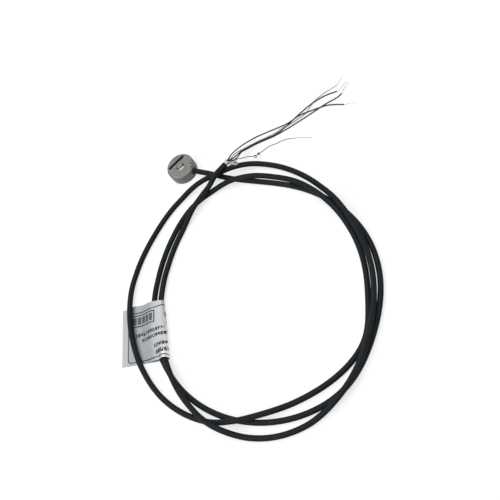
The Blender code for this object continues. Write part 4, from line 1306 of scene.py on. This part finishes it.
class LOADCELL_OT_label(bpy.types.Operator):
    """Folds the flag label round two runs of the cable and prints its plain fields"""

    bl_idname = "loadcell.label"
    bl_label = "Fold the label"

    def execute(self, context):
        look = looks()[2]
        inner, outer = self.run(LABEL_INNER_RUN), self.run(LABEL_OUTER_RUN)
        heading, sideways = self.directions()
        work = bmesh.new()
        prints = work.loops.layers.uv.new("print")
        rings, places = [], {}
        for along in np.linspace(0, LABEL_LENGTH, LABEL_SECTIONS):
            line = self.section(along, inner, outer)
            film = measured(line)
            ring = []
            for (across, height), from_front in self.thickened(line, film[-1] - film):
                reach = along - self.skew(along, from_front)
                spot = np.array(LABEL_CORNER) + heading * reach + sideways * across
                vertex = work.verts.new((*spot, height))
                places[vertex] = (from_front, reach)
                ring.append(vertex)
            rings.append(ring)
        skin(work, rings)
        for face in work.faces:
            for loop in face.loops:
                loop[prints].uv = places[loop.vert]
        label = mesh_piece("folded_label", work, 40)
        dress(label, printed_film(look), "label_film", "flag_label")
        return {"FINISHED"}

    def directions(self):
        """Plan directions along the label and across it."""
        x, y = math.cos(LABEL_HEADING), math.sin(LABEL_HEADING)
        return np.array([x, y]), np.array([-y, x])

    def skew(self, along, from_front):
        """How far the front layer's upper end runs past the back one, fading to the lower end."""
        share = max(0, 1 - from_front / LABEL_SKEW_OVER)
        return LABEL_SKEW * share * (1 - along / LABEL_LENGTH)

    def run(self, ends):
        """One run of the cable in the label's own frame: along it, across it, and height."""
        points = cable_points(np.linspace(*ends, 60))
        offset = points[:, :2] - np.array(LABEL_CORNER)
        heading, sideways = self.directions()
        order = np.argsort(offset @ heading)
        return (offset @ heading)[order], (offset @ sideways)[order], points[order, 2]

    def section(self, along, inner, outer):
        """Middle line of the film at one section, from the back layer's edge to the front's."""
        near, near_height = (np.interp(along, inner[0], inner[k]) for k in (1, 2))
        far, far_height = (np.interp(along, outer[0], outer[k]) for k in (1, 2))
        wrap = JACKET_R + LABEL_SLACK + LABEL_FILM / 2
        crown = far_height + wrap
        middle = (crown + LABEL_LOW) / 2
        tilt = max(LABEL_LEAST_TILT, math.atan2(far_height - near_height, far - near))
        loose = wrap + LABEL_BULGE * math.sin(math.pi * along / LABEL_LENGTH)
        line = [(across, LABEL_LOW) for across in np.linspace(LABEL_BACK_EDGE, far, 24)]
        for angle in np.radians(np.linspace(-80, 80, 21)):
            height = middle + (crown - middle) * math.sin(angle)
            line.append((far + loose * math.cos(angle), height))
        for angle in math.pi / 2 + tilt * np.linspace(0, 1, 4):
            line.append((far + wrap * math.cos(angle), far_height + wrap * math.sin(angle)))
        start = np.array(line[-1])
        end = np.array((near - wrap * math.sin(tilt), near_height + wrap * math.cos(tilt)))
        line += [tuple(start + (end - start) * share) for share in np.linspace(0.25, 1, 4)]
        flat = LABEL_LOW + LABEL_LAYER
        for share in np.linspace(0.05, 1, 20):
            height = flat + (end[1] - flat) * (1 - share**2 * (3 - 2 * share))
            line.append((end[0] - LABEL_FALL * share, height))
        low = np.linspace(end[0] - LABEL_FALL, LABEL_FRONT_EDGE, 12)[1:]
        line += [(across, flat) for across in low]
        return np.array(line)

    def thickened(self, line, measure):
        """A closed ring round the line, half the film to each side, with a measure per point."""
        tangent = np.gradient(line, axis=0)
        tangent /= np.linalg.norm(tangent, axis=1)[:, None]
        normal = np.stack([-tangent[:, 1], tangent[:, 0]], axis=1) * LABEL_FILM / 2
        lower = list(zip(line - normal, measure))
        upper = list(zip(line + normal, measure))
        return lower + upper[::-1]


class LOADCELL_OT_body(bpy.types.Operator):
    """Turns and mills the cell's body, and makes its cover and the seal round the cable"""

    bl_idname = "loadcell.body"
    bl_label = "Finish the cell"

    def execute(self, context):
        look = looks()[0]
        body = turned("turned_body", body_profile(), 192)
        cut(body, slot_cutter())
        cut(body, bore_cutter("cable_drill", BORE_R, BORE_START))
        cut(body, bore_cutter("seal_counterbore", COUNTERBORE_R, COUNTERBORE_START))
        punch = cone_cutter("dot_punch", DOT_R * 0.45, DOT_R * 1.55, DOT_DEPTH * 2, 32)
        punch.location = towards(DOT_ANGLE, 0) * DOT_FROM_AXIS + Vector((0, 0, FACE))
        cut(body, punch)
        dress(settle(body), body_metal(look), "body_metal", "cell_body")
        self.cover(look)
        self.seal()
        return {"FINISHED"}

    def cover(self, look):
        profile = [(0, COVER_HIGH), (COVER_R, COVER_HIGH), (COVER_R, COVER_LOW), (0, COVER_LOW)]
        cover = turned("turned_cover", [tuple(p) for p in eased(profile, COVER_CHAMFER)], 128)
        dress(cover, turned_plate_metal(look), "cover_metal", "base_cover")

    def seal(self):
        inner = JACKET_R + SEAL_SLACK
        dome = SEAL_END - SEAL_DOME
        profile = [
            (inner, SEAL_END), (SEAL_R - SEAL_DOME / 2, dome + SEAL_DOME * 2 / 3), (SEAL_R, dome),
            (SEAL_R, SEAL_START), (inner, SEAL_START),
        ]
        seal = turned("sealant_ring", [tuple(p) for p in eased(profile, SEAL_EASE)], 64)
        seal.rotation_euler = (0, math.pi / 2, 0)
        seal.location = (0, 0, EXIT_HEIGHT)
        finish = moulded("sealant", SEALANT, 0.5, 1500, 0.00002)
        dress(seal, finish, "sealant", "cable_seal")


class LOADCELL_OT_bridge(bpy.types.Operator):
    """Gives the gauges, the board, its resistors and the wires inside the cell their finishes"""

    bl_idname = "loadcell.bridge"
    bl_label = "Finish the bridge inside"

    def execute(self, context):
        look = looks()[1]
        board = moulded("board_laminate", BOARD, 0.4, 1500, 0.00001, 0.12, 0.3)
        self.give("bridge_board", board)
        gauge = self.gauge_finish()
        enamel = moulded("wire_enamel", ENAMEL, 0.28, 5000, 0.000002, 0.1, 0.4)
        for number in (1, 2, 3, 4):
            self.give(f"strain_gauge_{number}", gauge)
            self.give(f"gauge_wire_{number}a", enamel)
            self.give(f"gauge_wire_{number}b", enamel)
        chip = self.chip_finish()
        for number in (1, 2):
            self.give(f"compensation_resistor_{number}", chip)
        for colour in LEAD_ROUTES:
            finish = moulded(f"core_{colour}_insulation", tuple(getattr(look, colour)), 0.4, 3800)
            self.give(f"core_{colour}", finish)
        return {"FINISHED"}

    def give(self, node, material):
        NODES[node].data.materials.clear()
        NODES[node].data.materials.append(material)

    def gauge_finish(self):
        """Amber film, with the raised foil lines bright."""
        finish = Finish("gauge_film")
        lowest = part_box("strain_gauge_1")[0].z
        raised = finish.math("LESS_THAN", finish.place()["Z"], lowest + GAUGE_LINE)
        film = finish.blend(finish.noise(900), *GAUGE_FILM)
        finish.drive("Base Color", finish.blend(raised, film, GAUGE_METAL))
        finish.drive("Metallic", finish.product(raised, 0.9))
        finish.set(Roughness=0.35)
        return finish.material

    def chip_finish(self):
        """Black ceramic with a fine grain."""
        finish = Finish("chip_resistor")
        grain = finish.noise(2500, 3)
        finish.drive("Base Color", finish.blend(finish.spread(grain, 0, 1), *CHIP))
        finish.drive("Roughness", finish.spread(grain, 0.3, 0.5))
        return finish.material


class LOADCELL_OT_declare_cable(bpy.types.Operator):
    bl_idname = "loadcell.declare_cable"
    bl_label = "Declare the cable"

    def execute(self, context):
        return {"FINISHED"}


class LOADCELL_PT_sidebar(bpy.types.Panel):
    """Lists the steps and the looks in the 3D view's sidebar"""

    bl_idname = "LOADCELL_PT_sidebar"
    bl_label = "Button load cell"
    bl_space_type = "VIEW_3D"
    bl_region_type = "UI"
    bl_category = "Load cell"

    def draw(self, context):
        column = self.layout.column()
        for step in STEPS:
            column.operator(step.bl_idname)
        for name in ("cell_look", "cable_look", "label_look", "stage_look"):
            group = getattr(context.scene, name)
            box = self.layout.box()
            box.label(text=group.bl_rna.name)
            for key in group.__annotations__:
                box.prop(group, key)


LOOKS = {
    "cell_look": CellLook,
    "cable_look": CableLook,
    "label_look": LabelLook,
    "stage_look": StageLook,
}
STEPS = (
    LOADCELL_OT_stage,
    LOADCELL_OT_cable,
    LOADCELL_OT_leads,
    LOADCELL_OT_label,
    LOADCELL_OT_body,
    LOADCELL_OT_bridge,
    LOADCELL_OT_declare_cable,
)


def register():
    for group in LOOKS.values():
        bpy.utils.register_class(group)
    for step in STEPS:
        bpy.utils.register_class(step)
    bpy.utils.register_class(LOADCELL_PT_sidebar)
    for name, group in LOOKS.items():
        setattr(bpy.types.Scene, name, PointerProperty(type=group))


def unregister():
    for name in LOOKS:
        delattr(bpy.types.Scene, name)
    bpy.utils.unregister_class(LOADCELL_PT_sidebar)
    for step in reversed(STEPS):
        bpy.utils.unregister_class(step)
    for group in reversed(LOOKS.values()):
        bpy.utils.unregister_class(group)


def main():
    register()
    for step in STEPS:
        group, name = step.bl_idname.split(".")
        getattr(getattr(bpy.ops, group), name)()


if __name__ == "__main__":
    main()
